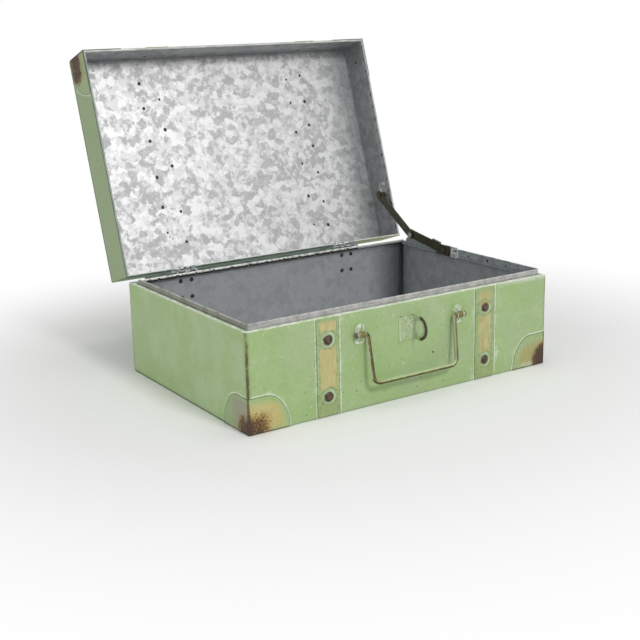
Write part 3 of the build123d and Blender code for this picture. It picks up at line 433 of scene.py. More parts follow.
def green_paint(n, lid):
    """Sage paint with its worn folds, thin chalk lines round the plates and small dark flecks."""
    base, chalk = chalk_paint(n)
    low, high, cap = (LID_LOW, LID_TOP, LID_CAP) if lid else (0, BODY_TOP, BODY_CAP)
    folds = n.group("fold distance", low=low, high=high)
    x, y, z = n.xyz
    on_end = abs(x) > HALF_L - 0.3
    base = base.tint(on_end, 0.6, END_GREEN if lid else "#A9C387")
    pale = n.noise(38, 4, 0.6).step(0.42, 0.64)
    if not lid:
        base = base.tint(on_end * pale, 0.42, "#BCCFA9")

    # chalk left along the straps and round the corner plates: a thin line, and haze beyond it
    gap = strap_middle(n) - STRAP_HALF
    left_x, right_x = STRAP_X
    rightward = n.either((x > left_x) * (x < 0), x > right_x)
    plate = n.group("plate reach", low=cap[0], height=cap[1])
    plate_gap = (plate["Reach"] - 1) * 29
    on_wall = n.either(y < 0.5 - HALF_W, on_end)
    strap_wall = y < HALF_W - 1
    fine = n.noise(5, 4, 0.7)
    broken = fine.step(0.36, 0.54, 0.3, 1)
    wide = rightward.blend(1.05, 1.8)
    chalked = []
    for distance, where, end in ((gap, strap_wall, wide), (plate_gap, on_wall, 1.3)):
        reach = n.ragged(distance, 4, 0.4) / end
        chalked.append(reach.band(-0.6, 1, 0.14) * where)
    haze = n.least(gap, plate_gap).fall(0.5, 8) * n.noise(11).step(0.5, 0.68)
    base = base.tint(haze * on_wall, 0.6, "#CDD9BC")
    shade = gap.band(1.6, 2.6, 0.5) * fine.step(0.5, 0.62)
    base = base.tint(shade, 0.35, LINE_GREEN)
    base = base.tint(n.either(*chalked) * broken, 0.9, CREAM)
    if not lid:
        splashes = []
        for at_x, at_z, size in SPLASHES:
            torn = n.ragged(n.length(x - at_x, z - at_z), 3.6, 13)
            splashes.append(torn.fall(size * 0.2, size))
        base = base.tint(n.either(*splashes) * on_wall, 0.6, "#D3DBCC")

    # flecks, denser low down and beside the straps
    flecks = n.speckle(4.8, 0.85, 0.2)
    near = n.either(folds["Low edge"].step(10, 50, 1, 0.4), gap.fall(2, 9))
    base = base.tint(flecks * near * fine.step(0.42, 0.52, 0.3, 1), 0.8, "#4E5C2B")
    chips = n.speckle(6, 0.8, 0.2, n.vector("DIVIDE", n.place, (1, 1, 1.4)))
    base = base.tint(chips, 0.6, "#CBDAB4")

    # folds: a worn dark line along the uprights; a dark line along the foot, partly worn edge and
    # partly painted contact shade, which on the lid runs along its top fold; chalk along the rim
    worn = n.ragged(folds["Upright"], 7, 0.8)
    foot = n.ragged(folds["Low edge"], 9, 0.9)
    rim = n.ragged(folds["High edge"], 6, 1)
    if lid:
        foot, rim = rim, foot
    patchy = n.noise(22, 3, 0.6).step(0.3, 0.5, 0.35, 1)
    fold_grain = n.noise((2.4, 2.4, 6.24), 3, 0.7)
    front_left = (x < 0) * (y < 0)
    width = front_left.blend(0.8, 2.3 if not lid else 1.2)
    edge_tone = fold_grain.step(0.5, 0.64).mix("#504A20", "#7F7D3A")
    edge_tone = edge_tone.tint(fold_grain.step(0.5, 0.42), 0.9, "#312E12")
    edge_tone = front_left.mix("#4C5F39", edge_tone)
    worn_in = worn / width
    base = base.tint(worn_in.fall(0.9, 2.2) * patchy, 0.62, "#8A9650")
    dark = worn_in.fall(0.55, 1.05)
    base = (dark * patchy * 0.95).mix(base, edge_tone)
    # a dark line along the foot: partly worn edge, partly painted contact shade
    base = base.tint(foot.fall(0.2, 1.3), 0.75, "#46552F")
    scraped = n.noise(9).step(0.34, 0.5)
    base = base.tint(rim.fall(0.4, 1.5) * scraped, 0.8, CREAM)
    near_rim = rim.fall(1, 8) * n.noise(6, 5, 0.7).step(0.54, 0.7)
    base = base.tint(near_rim, 0.35, CREAM)
    if not lid:
        rubbed = rim.fall(1, 5.5) * x.step(96, 150) * fine.step(0.36, 0.5)
        base = base.tint(rubbed, 0.7, "#D3D9CC")
    return base, chalk, dark * patchy


def bare_zinc(n, tones, size, shade):
    """Galvanised sheet: ground, grey flakes, dark flakes and bright grains, then the shade's grey."""
    spangle = n.group("spangle", size=size)
    ground, grey, dark, bright, deep = tones
    base = spangle["Grey"].mix(ground, grey)
    base = base.tint(spangle["Dark"], 0.7, dark)
    base = base.tint(spangle["Bright"], 0.9, bright)
    return shade.mix(base, deep), spangle


def within_walls(n):
    """Between the middles of the sheets on all four sides."""
    x, y, _ = n.xyz
    return (abs(x) < HALF_L - SHEET / 2) * (abs(y) < HALF_W - SHEET / 2)


def body_inside(n):
    """Faces of the body's sheet that look inwards."""
    return within_walls(n) * n.xyz[2].band(SHEET / 2, BODY_TOP - SHEET / 2, 0.05)


def lid_inside(n):
    """Faces of the lid's top, front and back that look inwards, and the turned-in rim."""
    return within_walls(n) * (n.xyz[2] < LID_TOP - SHEET / 2)


def lid_end_inside(n):
    """The ends are bare everywhere but on their outer face."""
    return abs(n.xyz[0]) < HALF_L - SHEET / 2


def body_shade(n):
    """Painted shade in the body's inner corners and folds, under the rim, towards the right end of the
    back wall and on the right end wall, and a dark seam up each corner.
    """
    x, y, z = n.xyz
    folds = n.group("fold distance", low=0, high=BODY_TOP)
    # painted shade: soft darkening near the inner folds
    depth = n.ragged(folds["Distance"], 20, 6)
    soft = depth.fall(1, 12, 0.22)
    seam = folds["Upright"].fall(2 * SHEET + 0.3, 2 * SHEET + 1.3, 0.85)
    to_right = HALF_L - x
    to_back = HALF_W - y
    on_back = to_back.fall(2, 2.6)
    # painted shade under the rim, strongest along the back; along the back wall towards the right end;
    # and on the right end wall
    under_rim = z.step(BODY_TOP - 3.2, BODY_TOP - 2.2, 0, on_back.blend(0.3, 0.95))
    back_right_shade = to_right.fall(3, 58, 0.85) * on_back
    end_wall = to_right.fall(1, 1.4, 0.22)
    return n.either(n.math("ADD", soft, back_right_shade + end_wall, clamp=True), seam, under_rim)


def lid_shade(n):
    """Painted shade on the lid's sheet: towards the right-hand end, near the front wall, on its walls
    and ends, along its folds and at the turned-in rim.
    """
    x, y, z = n.xyz
    # painted shade, growing towards the right-hand end
    end = n.ragged(HALF_L - x, 40, 16)
    near_end = end.fall(4, 280, 0.27) + end.fall(-4, 52, 0.5)
    # painted shade near the front wall, on the walls and on the ends
    front = (y + HALF_W).fall(2, 7, 0.75)
    wall = z.fall(LID_TOP - 4, LID_TOP - 1.5, 0.75)
    end_wall = abs(x).step(HALF_L - 1.2, HALF_L - 0.9, 0, 0.82)
    # painted shade along the folds and at the turned-in rim
    fold = n.group("fold distance", low=LID_LOW, high=LID_TOP)["Distance"]
    seam = fold.fall(SHEET + 0.5, SHEET + 2.2, 0.97)
    return n.either(near_end, front, wall, end_wall, seam)


def hinge_work(n):
    """Where the hinges' knuckles show along the back: their bright metal, and painted shade in the
    openings between the knuckles.
    """
    at_hinge = n.either(*(n.xyz[0].band(start, end, 0.5) for start, end in HINGE_SPANS))
    # painted shade in the openings between the knuckles
    opening_shade = n.noise((3.2, 1, 1), 2, 0.5).step(0.47, 0.54)
    return at_hinge, opening_shade.mix("#E2E8E6", "#18262B")


def lid_rim(n, base):
    """The lid's turned edge: pale and scraped in front; behind, green-grey as painted shade, with a
    pale painted highlight along its inner line.
    """
    x, y, z = n.xyz
    turned = z.fall(LID_LOW + 0.9, LID_LOW + 1.5)
    behind = y > 0
    cloud = n.noise((14, 3, 3), 3, 0.6).step(0.4, 0.6)
    front_tone = cloud.mix("#B4B9B2", "#D2D6D0")
    edge = y.step(0.9 - HALF_W, 0.4 - HALF_W)
    front_tone = front_tone.tint(edge, 0.85, "#586058")
    # painted shade: the back of the turned edge darkened to green-grey
    back_tone = cloud.mix("#4E6155", "#71857A")
    right_end = x > REAR_PALE_FROM[1]
    end_tone = cloud.mix("#9EA583", "#BCC2A2")
    back_tone = right_end.mix(back_tone, end_tone)
    # a painted highlight along the pale inner line
    inner_highlight = y.fall(HALF_W - 1.9, HALF_W - 1.5)
    back_tone = back_tone.tint(inner_highlight, 0.9, "#E6E7E4")
    # painted shade on the back wall's outside near the rim, green-grey; pale at the right end
    outer = (y > HALF_W - 0.4) * z.fall(LID_LOW + 24, LID_LOW + 30)
    base = outer.mix(base, right_end.mix(cloud.mix("#62766B", "#7F9187"), end_tone))
    at_hinge, hinge_tone = hinge_work(n)
    back_tone = at_hinge.mix(back_tone, hinge_tone)
    near_rim = z.fall(LID_LOW + 9, LID_LOW + 11)
    base = (outer * at_hinge * near_rim).mix(base, hinge_tone)
    fold_line = z.band(LID_LOW + 1.5, LID_LOW + 2.6, 0.4) * (abs(y) < HALF_W - 1.2)
    base = base.tint(fold_line, 0.6, "#4C4946")
    return turned.mix(base, behind.mix(front_tone, back_tone))


def lid_end_rim(n, base):
    """The ends' turned edge: bare light grey with a dark line at its outer side."""
    x, _, z = n.xyz
    turned = z.fall(LID_LOW + 0.9, LID_LOW + 1.5)
    cloud = n.noise((3, 14, 3), 3, 0.6).step(0.4, 0.6)
    tone = cloud.mix("#8F9696", "#B2B8B6")
    across = abs(x)
    tone = tone.tint(across.step(HALF_L - 1, HALF_L - 0.6), 0.85, "#47584B")
    tone = tone.tint(across.fall(HALF_L - 2.4, HALF_L - 2), 0.6, "#4C5152")
    return turned.mix(base, tone)


def sheet_finish(name, lid, inside, tones, size, shade, metallic, rough, rim):
    """Painted outside, bare zinc inside."""
    n = Finish(name, lid)
    paint, chalk, wear = green_paint(n, lid)
    zinc, spangle = bare_zinc(n, tones, size, shade(n))
    within = inside(n)
    base = rim(n, within.mix(paint, zinc))
    paint_rough = wear.blend(chalk["Haze"].blend(0.5, 0.64), 0.5)
    zinc_rough = spangle["Grey"].blend(*rough)
    height = within.blend(chalk["Height"], spangle["Height"])
    roughness = within.blend(paint_rough, zinc_rough)
    return n.dress(base, roughness, within * metallic, height, 0.06, 0.3)


def body_ledge(n, base):
    """The ledge round the mouth: pale chalk over green, painted shade against the collar, and
    green-grey painted shade along the back.
    """
    x, y, z = n.xyz
    top = z.step(BODY_TOP - 0.5, BODY_TOP - 0.2)
    inward = n.least(HALF_L - abs(x), HALF_W - abs(y))
    cloud = n.noise(7).step(0.4, 0.62)
    tone = cloud.mix("#BCCBA8", "#E4E8DF")
    # painted shade where the ledge meets the collar
    tone = tone.tint(inward.step(3.6, 4.4), 0.15, "#5A5F4C")
    behind = y > HALF_W - 6
    at_hinge, hinge_tone = hinge_work(n)
    # painted shade: the back of the ledge darkened to green-grey, pale beyond the right hinge
    back_tone = y.step(HALF_W - 2.6, HALF_W - 2.2).mix("#6F827A", "#93A49C")
    back_tone = (x > REAR_PALE_FROM[0]).mix(back_tone, "#BDBCB0")
    tone = behind.mix(tone, at_hinge.mix(back_tone, hinge_tone))
    return top.mix(base, tone)


def strap_finish(name, lid):
    """Ochre showing through green in brush marks, dark lines at the sides, rings round the rivets."""
    n = Finish(name, lid)
    x, y, z = n.xyz
    side_gap = strap_middle(n)
    border = STRAP_HALF - side_gap
    on_right = x > 0
    fibre = n.noise((0.9, 9, 9), 3, 0.65)
    shift = (fibre - 0.5) * 4.4
    torn = n.ragged(border, 9, 3.4) + shift * 0.7
    centre = torn.step(2.6, on_right.blend(4, 6.4))
    heights = (LID_STRAP_RIVET,) if lid else STRAP_RIVETS
    front = y < -HALF_W
    away, wide = (
        front.blend(40, n.least(*(n.length(side_gap * narrow, z - up) for up in heights)))
        for narrow in (1, 0.7)
    )
    ring = n.ragged(away, 5, 1)
    torn_ring = n.ragged(wide, 6, 3.6)
    low, high = (LID_LOW, 2 * LID_TOP) if lid else (STRAP_RIVETS[0] - 5, BODY_TOP - 4.5)
    patch = centre * torn_ring.step(8, 9.4) * (z + shift * 0.8).band(low, high, 1.2)
    patch = patch * on_right.blend(0.94, 0.86)
    green = chalk_paint(n)[0]
    ochre = fibre.step(0.36, 0.64).mix("#B8AD72", "#C8BF8A")
    ochre = ochre.tint(n.noise(9, 3, 0.6).step(0.5, 0.66), 0.4, "#BEAE78")
    green = green.tint(border.step(1, 3), 0.45, "#8FA46A")
    stain = n.noise((7, 14, 14)).step(0.48, 0.66)
    ochre = ochre.tint(stain, on_right.blend(0.25, 0.6), "#99985F")
    if lid:
        over_top = z > LID_TOP
        ochre = over_top.mix(ochre, "#8A8150")
        green = over_top.mix(green, "#7A8450")
    base = patch.mix(green, ochre)
    spots = n.noise(3.4, 4, 0.7).step(0.48, 0.58)
    edge_of_patch = n.either(torn.band(1.6, 3.6, 0.8), torn_ring.band(6.8, 9, 0.7))
    base = base.tint(edge_of_patch * spots, 0.6, "#6B7C45")

    # the pressed ring round each rivet: pale, with a painted highlight on its right, painted shade
    # against the head and a painted shadow to its left
    aside = x - on_right.blend(*STRAP_X)
    right_of = aside.step(-1, 5)
    left_of = aside.step(-2.5, -4.5)
    base = base.tint(ring.band(4.6, 7.8, 0.9), 0.6, "#AABB95")
    # painted highlight on the ring's right side
    base = base.tint(ring.band(5.8, 7.4, 1) * right_of, 0.62, "#CFDAC4")
    base = base.tint(ring.band(7.8, 8.8, 0.6), 0.3, "#6F7F4C")
    # painted shade against the head, and a painted shadow to the head's left
    left_shadow = n.ragged(away, 2.5, 2.6).fall(5, 6)
    ring_shade = n.either(ring.fall(4.6, 5.3), left_shadow * left_of)
    base = base.tint(ring_shade, 0.88, "#3E3322")
    if not lid:
        glow = ring.band(4.4, 7.4, 0.8) * (z - STRAP_RIVETS[1]).step(1, 4.5) * on_right
        base = base.tint(glow, 0.7, "#B08A4A")
        bottom = z.fall(12, 15) * fibre.step(0.42, 0.58)
        base = base.tint(bottom, 0.42, "#8F9058")
        washed = on_right * n.noise(14, 4, 0.6).step(0.46, 0.62)
        base = base.tint(washed, 0.35, "#98A070")

    line = n.ragged(border, 6, 0.25)
    dark = line.fall(0.4, 1) * n.noise(8, 4, 0.5).step(0.3, 0.55, 0.4, 1)
    base = base.tint(dark, 0.68, LINE_GREEN)
    base = base.tint(n.speckle(4.6, 0.5, 0.18), 0.6, OLIVE_WEAR)
    return n.dress(base, patch.blend(0.58, 0.66), 0, fibre, 0.1, 0.3)


def cap_finish(name, lid, cap):
    """A corner plate: dark line, green border, ochre heart, and rust dusted out from the corner."""
    n = Finish(name, lid)
    plate = n.group("plate reach", low=cap[0], height=cap[1])
    run, rise, end_side = plate["Run"], plate["Rise"], plate["End side"]
    on_right = n.xyz[0] > 0
    inset = (1 - plate["Reach"]) * 28
    drift = n.noise(10, 3, 0.55)
    sway = (drift - 0.5) * 9
    base, chalk = chalk_paint(n)
    base = base.tint(end_side, 0.3, END_GREEN)

    heart = (inset + sway).step(2, on_right.blend(end_side.blend(8, 4), 13))
    heart = heart * (rise + sway).step(1, 6, on_right.blend(0.5, 0.2), 1)
    heart = heart * end_side.blend(1, (run + sway).step(31, 23))
    inner = drift.step(0.4, 0.6).mix("#C9B980", "#BFB272")
    inner = (on_right * 0.8).mix(inner, "#A29A62")
    far_side = run.step(22, 34) * rise.step(20, 6)
    inner = inner.tint(far_side, 0.35, "#A9A04E")
    inner = end_side.mix(inner, "#A09E88")
    if lid:
        inner = rise.step(24, 10).mix(inner, "#97A376")
    base = (heart * 0.9).mix(base, inner)

    # rust: a soft stain, then orange, brown and near-black grains that crowd at the corner
    if lid:
        out = n.most(run - end_side.blend(10, 20), 0)
        reach = n.length(out, n.most(cap[1] - 17 - rise, 0))
    else:
        out = n.most(run - end_side.blend(11, 9), 0)
        left_reach = n.length(out * 1.05, n.most(rise - 7, 0))
        right_reach = n.length(run, n.most(rise - 3, 0) * 0.78)
        reach = on_right.blend(left_reach, right_reach)
    reach = reach + sway * 0.7
    grains = n.noise(1.9, 3, 0.75)
    streaks = n.noise((1.2, 1.2, 4), 3, 0.7)
    soft_grain = n.noise(5, 4, 0.7)
    mottle = on_right.blend(0.15, 0.85).blend(end_side.blend(grains, soft_grain), streaks)
    if lid:
        crowd = reach.fall(1, 16, 1.05)
    else:
        left_crowd = reach.fall(0, end_side.blend(22, 18), 0.95)
        pulled = reach + (streaks - 0.5) * 14
        crowd = on_right.blend(left_crowd, pulled.fall(10, 22, 1.1))
    base = base.tint(crowd.step(0.1, 0.8), 0.32, "#A8894A")
    warm = (mottle + crowd * 0.4).step(0.58, 0.76)
    rust = end_side.mix(on_right.mix("#95733A", "#8F7B4A"), "#83724A")
    base = base.tint(warm, 0.75, rust)
    brown = (mottle + crowd * 0.4).step(0.68, 0.84)
    base = (brown * 0.85).mix(base, drift.mix("#66461F", "#5F3E22"))
    yellow = n.speckle(2.4, 0.6, 0.35)
    base = base.tint(yellow * crowd.band(0.15, 1.1, 0.12), on_right.blend(0.75, 0.2), "#C9AC62")
    black = (mottle + crowd * 0.38).step(0.79, 0.91)
    if not lid:
        black = on_right.blend(black, pulled.step(16.5, 10.5))
    base = base.tint(black, 0.9, DARK_RUST)
    if not lid:
        olive = on_right * streaks.step(0.5, 0.62) * (1 - crowd)
        base = base.tint(olive, 0.5, "#8C9A62")
        washed = on_right * rise.step(9, 3) * drift.step(0.42, 0.56) * run.step(14, 20)
        base = base.tint(washed, 0.5, "#C6D2B6")

    # the fold, wider and darker towards the corner
    from_corner = cap[1] - rise if lid else rise
    narrow = from_corner.step(4, 26, 3.4, 1.3)
    fold = run + (grains - 0.5) * 2.2
    folded = (fold / narrow).fall(0.55, 1.25)
    tone = rise.step(12, 26).mix(DARK_RUST, OLIVE_WEAR) if not lid else DARK_RUST
    base = (folded * 0.93).mix(base, tone)
    # a dark line along the plate's lower edge; on the body it is partly worn edge and partly painted
    # contact shade
    foot = n.ragged(rise, 6, 0.6)
    base = base.tint(foot.fall(0.4, 1.6), 0.75, "#39402A")

    line = n.ragged(inset, 5, 0.18)
    broken = n.noise(6, 4, 0.7).step(0.3, 0.52, 0.4, 1)
    base = base.tint(line.fall(0.4, 1) * broken, 0.65, LINE_GREEN)
    base = base.tint(line.band(1.4, 3.4, 0.6) * broken, 0.25, "#8CA36A")
    height = chalk["Height"] - brown * 0.5
    return n.dress(base, brown.blend(0.56, 0.74), 0, height, 0.12, 0.45)


def rivet_finish(name, lid=False):
    """Dark brown heads, with a reddish painted highlight on the crown of each dome."""
    n = Finish(name, lid)
    grain = n.noise(2.2, 4, 0.7)
    base = grain.step(0.4, 0.62).mix("#35271F", "#5A4236")
    # painted highlight: redder on the crown of each dome
    top = n.xyz[1].fall(-HALF_W - 3, -HALF_W - 2.2)
    base = base.tint(top * grain.step(0.44, 0.56), 0.6, "#7E5C4A")
    return n.dress(base, grain.blend(0.4, 0.62), 0.15, grain, 0.12, 0.5)


def metal_finish(name, tones, rough, metallic, grime):
    """Plated metal: clouded tones, with darker patches gathered by noise: grime, which on the pivot
    zinc stands for painted dark glints.
    """
    n = Finish(name)
    cloud = n.noise(6.6, 4, 0.6)
    grain = n.noise(1.5, 4, 0.7)
    base = cloud.step(0.36, 0.64).mix(*tones[:2])
    # darker patches: grime on most metals, painted dark glints on the pivot zinc
    start = 0.5 - grime * 0.2
    grime_and_glints = n.blend(0.5, cloud, grain).step(start, start + 0.12) * grime
    base = grime_and_glints.mix(base, tones[2])
    return n.dress(base, grain.blend(*rough), (1 - grime_and_glints) * metallic, grain)


def hinge_rivet_finish(name):
    """Rivets of the hinges' body leaves: zinc behind, their tails near-black inside the trunk."""
    n = Finish(name)
    grain = n.noise(2, 3, 0.7)
    zinc = grain.step(0.42, 0.6).mix("#DDE1DF", "#8B9694")
    tail = grain.step(0.42, 0.6).mix("#262625", "#434443")
    base = n.xyz[1].step(HALF_W - 0.2, HALF_W - 0.5).mix(zinc, tail)
    return n.dress(base, grain.blend(0.35, 0.5), 0.2, grain)


def foot_plate_finish(name):
    """The stay's foot plate: at its front end bright zinc pushed to white as a painted highlight, with
    black painted glints; dark olive where the link covers it.
    """
    n = Finish(name)
    x, y, _ = n.xyz
    grain = n.noise(1.6, 3, 0.7)
    cloud = n.noise(5, 3, 0.6)
    # painted highlight: the front end pushed to white, with black painted glints
    bright = cloud.step(0.4, 0.6).mix("#FFFFFF", "#D4D6D5")
    bright = bright.tint(n.noise(2.6, 2, 0.6).step(0.54, 0.58), 0.95, "#1E1E18")
    olive = grain.step(0.4, 0.6).mix("#3A3826", "#5A553D")
    covered = y.step(LINK_BACK_FROM, LINK_BACK_FROM + 3)
    covered = n.either(covered, x.fall(FOOT_PLATE_FACE - 0.4, FOOT_PLATE_FACE))
    base = covered.mix(bright, olive)
    return n.dress(base, grain.blend(0.28, 0.45), 0.15, grain)


def hasp_finish(name):
    """Hasp flap and leaf: zinc under rubbed green, olive grime round the curls."""
    n = Finish(name, True)
    cloud = n.noise(7, 4, 0.6)
    grain = n.noise(1.5, 4, 0.7)
    base = cloud.step(0.36, 0.64).mix("#A5A88F", "#8D8F74")
    base = base.tint(grain.step(0.5, 0.64), 0.6, "#4A4630")
    left_on = n.noise(5).step(0.46, 0.56)
    base = (left_on * 0.8).mix(base, GREEN_GREY)
    return n.dress(base, grain.blend(0.38, 0.56), (1 - left_on) * 0.6, grain, 0.08)


def staple_finish(name):
    """The staple: green rubbed thin over pale metal, scraped white, its tab's nose darkened as painted
    shade.
    """
    n = Finish(name)
    x, y, z = n.xyz
    low, high = node_box("staple")
    hole_y, hole_radius = LOCK_HOLE
    rivet_x, rivet_z = STAPLE_RIVET
    base, chalk = chalk_paint(n)
    worn = n.noise((5, 5, 11)).step(0.4, 0.62)
    base = base.tint(worn, 0.45, "#AAB795")
    scraped = n.noise((2.08, 2.08, 4.68), 4, 0.7).step(0.52, 0.62)
    base = base.tint(scraped, 0.8, "#D8DDD0")
    dark = n.noise((2.6, 2.6, 1.82), 4, 0.7).step(0.58, 0.66)
    base = base.tint(dark, 0.75, "#566043")
    flat = y > -HALF_W - 1.3
    to_edge = n.least(z - low.z, high.z - z)
    outline = flat * to_edge.fall(0.5, 1.3) * n.noise(4, 3, 0.5).step(0.36, 0.5)
    base = base.tint(outline, 0.75, "#4E5C3B")
    middle = (low.z + high.z) / 2
    reach = n.length(y + (HALF_W + hole_y), z - middle)
    on_tab = y < -HALF_W - 1.3
    base = base.tint(reach.fall(hole_radius + 0.2, hole_radius + 1.2) * on_tab, 0.7, "#DDE3D2")
    inner_side = reach.fall(hole_radius - 0.2, hole_radius + 0.5) * on_tab
    base = base.tint(inner_side * y.step(-HALF_W - 8, -HALF_W - 6.4), 0.8, "#4A5736")
    # painted shade along the tab's nose
    nose_y = y + (HALF_W + 10)
    nose = n.length(n.least(nose_y, 0), (z - middle) * 0.89)
    rough_nose = n.ragged(nose, 3, 0.8)
    nose_shade = rough_nose.step(7.2, 8.4) * nose_y.step(0.8, -1.2)
    base = base.tint(nose_shade * on_tab, 0.94, "#3A2C20")
    from_pin = n.length(x - rivet_x, z - rivet_z)
    base = base.tint(flat * from_pin.band(0.9, 1.9, 0.3), 0.85, "#3F4732")
    left_edge = (x - low.x).fall(0.3, 1.2)
    base = base.tint(left_edge * flat, 0.6, "#DDE5D2")
    height = chalk["Height"]
    return n.dress(base, scraped.blend(0.56, 0.42), scraped * 0.4, height, 0.08, 0.4)


def eye_finish(name):
    """The handle's eyes: plates painted over and chipped white, brass loops rubbed bare."""
    n = Finish(name)
    x, y, z = n.xyz
    chips = n.noise(3.4).step(0.46, 0.56)
    base = chalk_paint(n)[0].tint(chips, 0.85, "#E2E6DC")
    base = base.tint(n.speckle(2.4, 0.5, 0.35), 0.8, "#3A3B22")
    off_pivot = abs(z - joints["handle_swing"]["pos_m"][2] / MM)
    off_middle = abs(abs(x - EYES[0]) - EYES[1])
    out_from_plate = y.step(-HALF_W - 1.1, -HALF_W - 1.5)
    loop = out_from_plate * off_pivot.fall(4.4, 5.2) * off_middle.fall(2.8, 3.4)
    grain = n.noise(1.6, 4, 0.7)
    brass = grain.step(0.4, 0.6).mix("#6F6433", "#8A7F48")
    brass = brass.tint(grain.step(0.52, 0.62), 0.6, "#3F361B")
    base = loop.mix(base, brass)
    return n.dress(base, loop.blend(0.58, 0.42), loop * 0.1, grain, 0.08, 0.4)


def collar_finish(name):
    """The bare collar round the mouth: scraped grey in front, olive at the sides, pale on its edge."""
    n = Finish(name)
    x, y, z = n.xyz
    brushed = n.noise((14, 14, 1), 3, 0.6)
    cloud = n.noise(9)
    tone = n.blend(0.6, brushed, cloud).step(0.4, 0.6)
    front = tone.mix("#9C9B9A", "#BDBBB9")
    side = tone.mix("#7C7E72", "#97998B")
    wall = tone.mix("#868C8E", "#A2A8A9")
    across = abs(x)
    on_side = across > HALF_L - 5.6
    within = (across < HALF_L - 4.8) * (y > 4.8 - HALF_W)
    base = within.mix(on_side.mix(front, side), wall)
    dents = n.noise(4, 4, 0.7).step(0.58, 0.68)
    base = base.tint(dents, 0.4, "#77776E")
    edge = z.step(BODY_TOP + 4.5, BODY_TOP + 5.2) * cloud.step(0.36, 0.5)
    base = base.tint(edge, 0.6, "#DCDBD6")
    foot = n.ragged(z - BODY_TOP, 6, 0.6)
    dark_foot = foot.fall(0.3, 1.3) * on_side.blend(0.1, 0.25) * (1 - within)
    base = base.tint(dark_foot, 0.8, SHADOW_GREY)
    lower_line = foot.band(-2.6, -1.8, 0.3) * within
    base = base.tint(lower_line, 0.35, SHADOW_GREY)
    return n.dress(base, brushed.blend(0.45, 0.62), 0.25, brushed, 0.08, 0.3)


def strip_finish(name):
    """The strip behind: green-grey above, a painted highlight along its bead, painted shadow under the
    bead, and dark at each crimp.
    """
    n = Finish(name)
    x, _, z = n.xyz
    top = node_box("rear_rim_strip")[1].z
    rise = z - BODY_TOP
    cloud = n.noise((9, 2, 2)).step(0.38, 0.62)
    base = cloud.mix("#5C7166", "#7E9287")
    # painted highlight along the bead
    bright = n.noise(5, 4, 0.7).step(0.36, 0.56).mix("#A9A8A2", "#EDEDE9")
    base = rise.band(-0.6, 2, 0.25).mix(base, bright)
    # painted shadow under the bead
    base = rise.fall(-0.7, -0.2).mix(base, "#23231F")
    at_hinge, hinge_tone = hinge_work(n)
    base = (at_hinge * rise.step(2, 2.4)).mix(base, hinge_tone)
    wander = (n.noise(30, 1, 0.5) - 0.5) * 8
    notch = n.math("PINGPONG", x + wander + 16, 11)
    crimp = notch.fall(1, 2) * rise.fall(0.6, 1.3)
    base = base.tint(crimp, 0.92, "#1F1F1C")
    dent = n.noise((2.2, 2, 2), 3, 0.7).step(0.56, 0.62) * rise.fall(0.2, 0.8)
    base = base.tint(dent, 0.75, "#2B2B27")
    base = base.tint(z.step(top - 0.7, top - 0.1), 0.5, "#33403A")
    return n.dress(base, cloud.blend(0.42, 0.56), 0.3, cloud, 0.06, 0.3)


def wire_finish(name):
    """The bail: brass that shows brown at the bends, with a pale green painted highlight on the side
    turned to the light and painted shade on the side turned away.
    """
    n = Finish(name)
    x, _, z = n.xyz
    low, high = node_box("handle_bail")
    nx, ny, nz = n.axes(n.add("ShaderNodeTexCoord", out="Normal"))
    cloud = n.noise(9)
    grain = n.noise(1.6, 4, 0.7)
    base = cloud.step(0.38, 0.6).mix("#665F30", "#857D47")
    base = base.tint(grain.step(0.52, 0.64), 0.5, "#413A1B")
    on_leg = z.step(low.z + 5, low.z + 8)
    left_leg = x < 0
    # painted light: how far each face of the wire is turned to the light, read from its facing
    side_lit = nx * -0.8 + ny * left_leg.blend(0.1, 0.6)
    lit = on_leg.blend(nz, side_lit) + (cloud - 0.5) * 0.7
    start = on_leg.blend(0.2, left_leg.blend(0.2, 0.22))
    highlit = lit.step(start, start + 0.22)
    pale = grain.step(0.4, 0.6).mix("#A9BF86", "#C4D4A4")
    pale = on_leg.mix(pale, left_leg.mix("#A9B090", "#D0D5C0"))
    brown_end = x.step(low.x + 34, low.x + 16) * (1 - on_leg)
    pale = (brown_end * 0.8).mix(pale, "#9A8664")
    base = base.tint(highlit, 0.85, pale)
    # painted shade on the side turned away from the light
    under = lit.step(on_leg.blend(0.1, -0.2), on_leg.blend(-0.4, -0.7))
    base = base.tint(under, 0.85, "#2C2813")
    from_end = n.least(x - low.x, high.x - x)
    collar = from_end.band(1.6, 3.4, 0.4)
    base = base.tint(collar, 0.7, "#E4E6D8")
    base = base.tint(from_end.fall(0.6, 1.4), 0.8, "#4A4326")
    return n.dress(base, grain.blend(0.36, 0.52), (1 - highlit) * 0.25, grain)


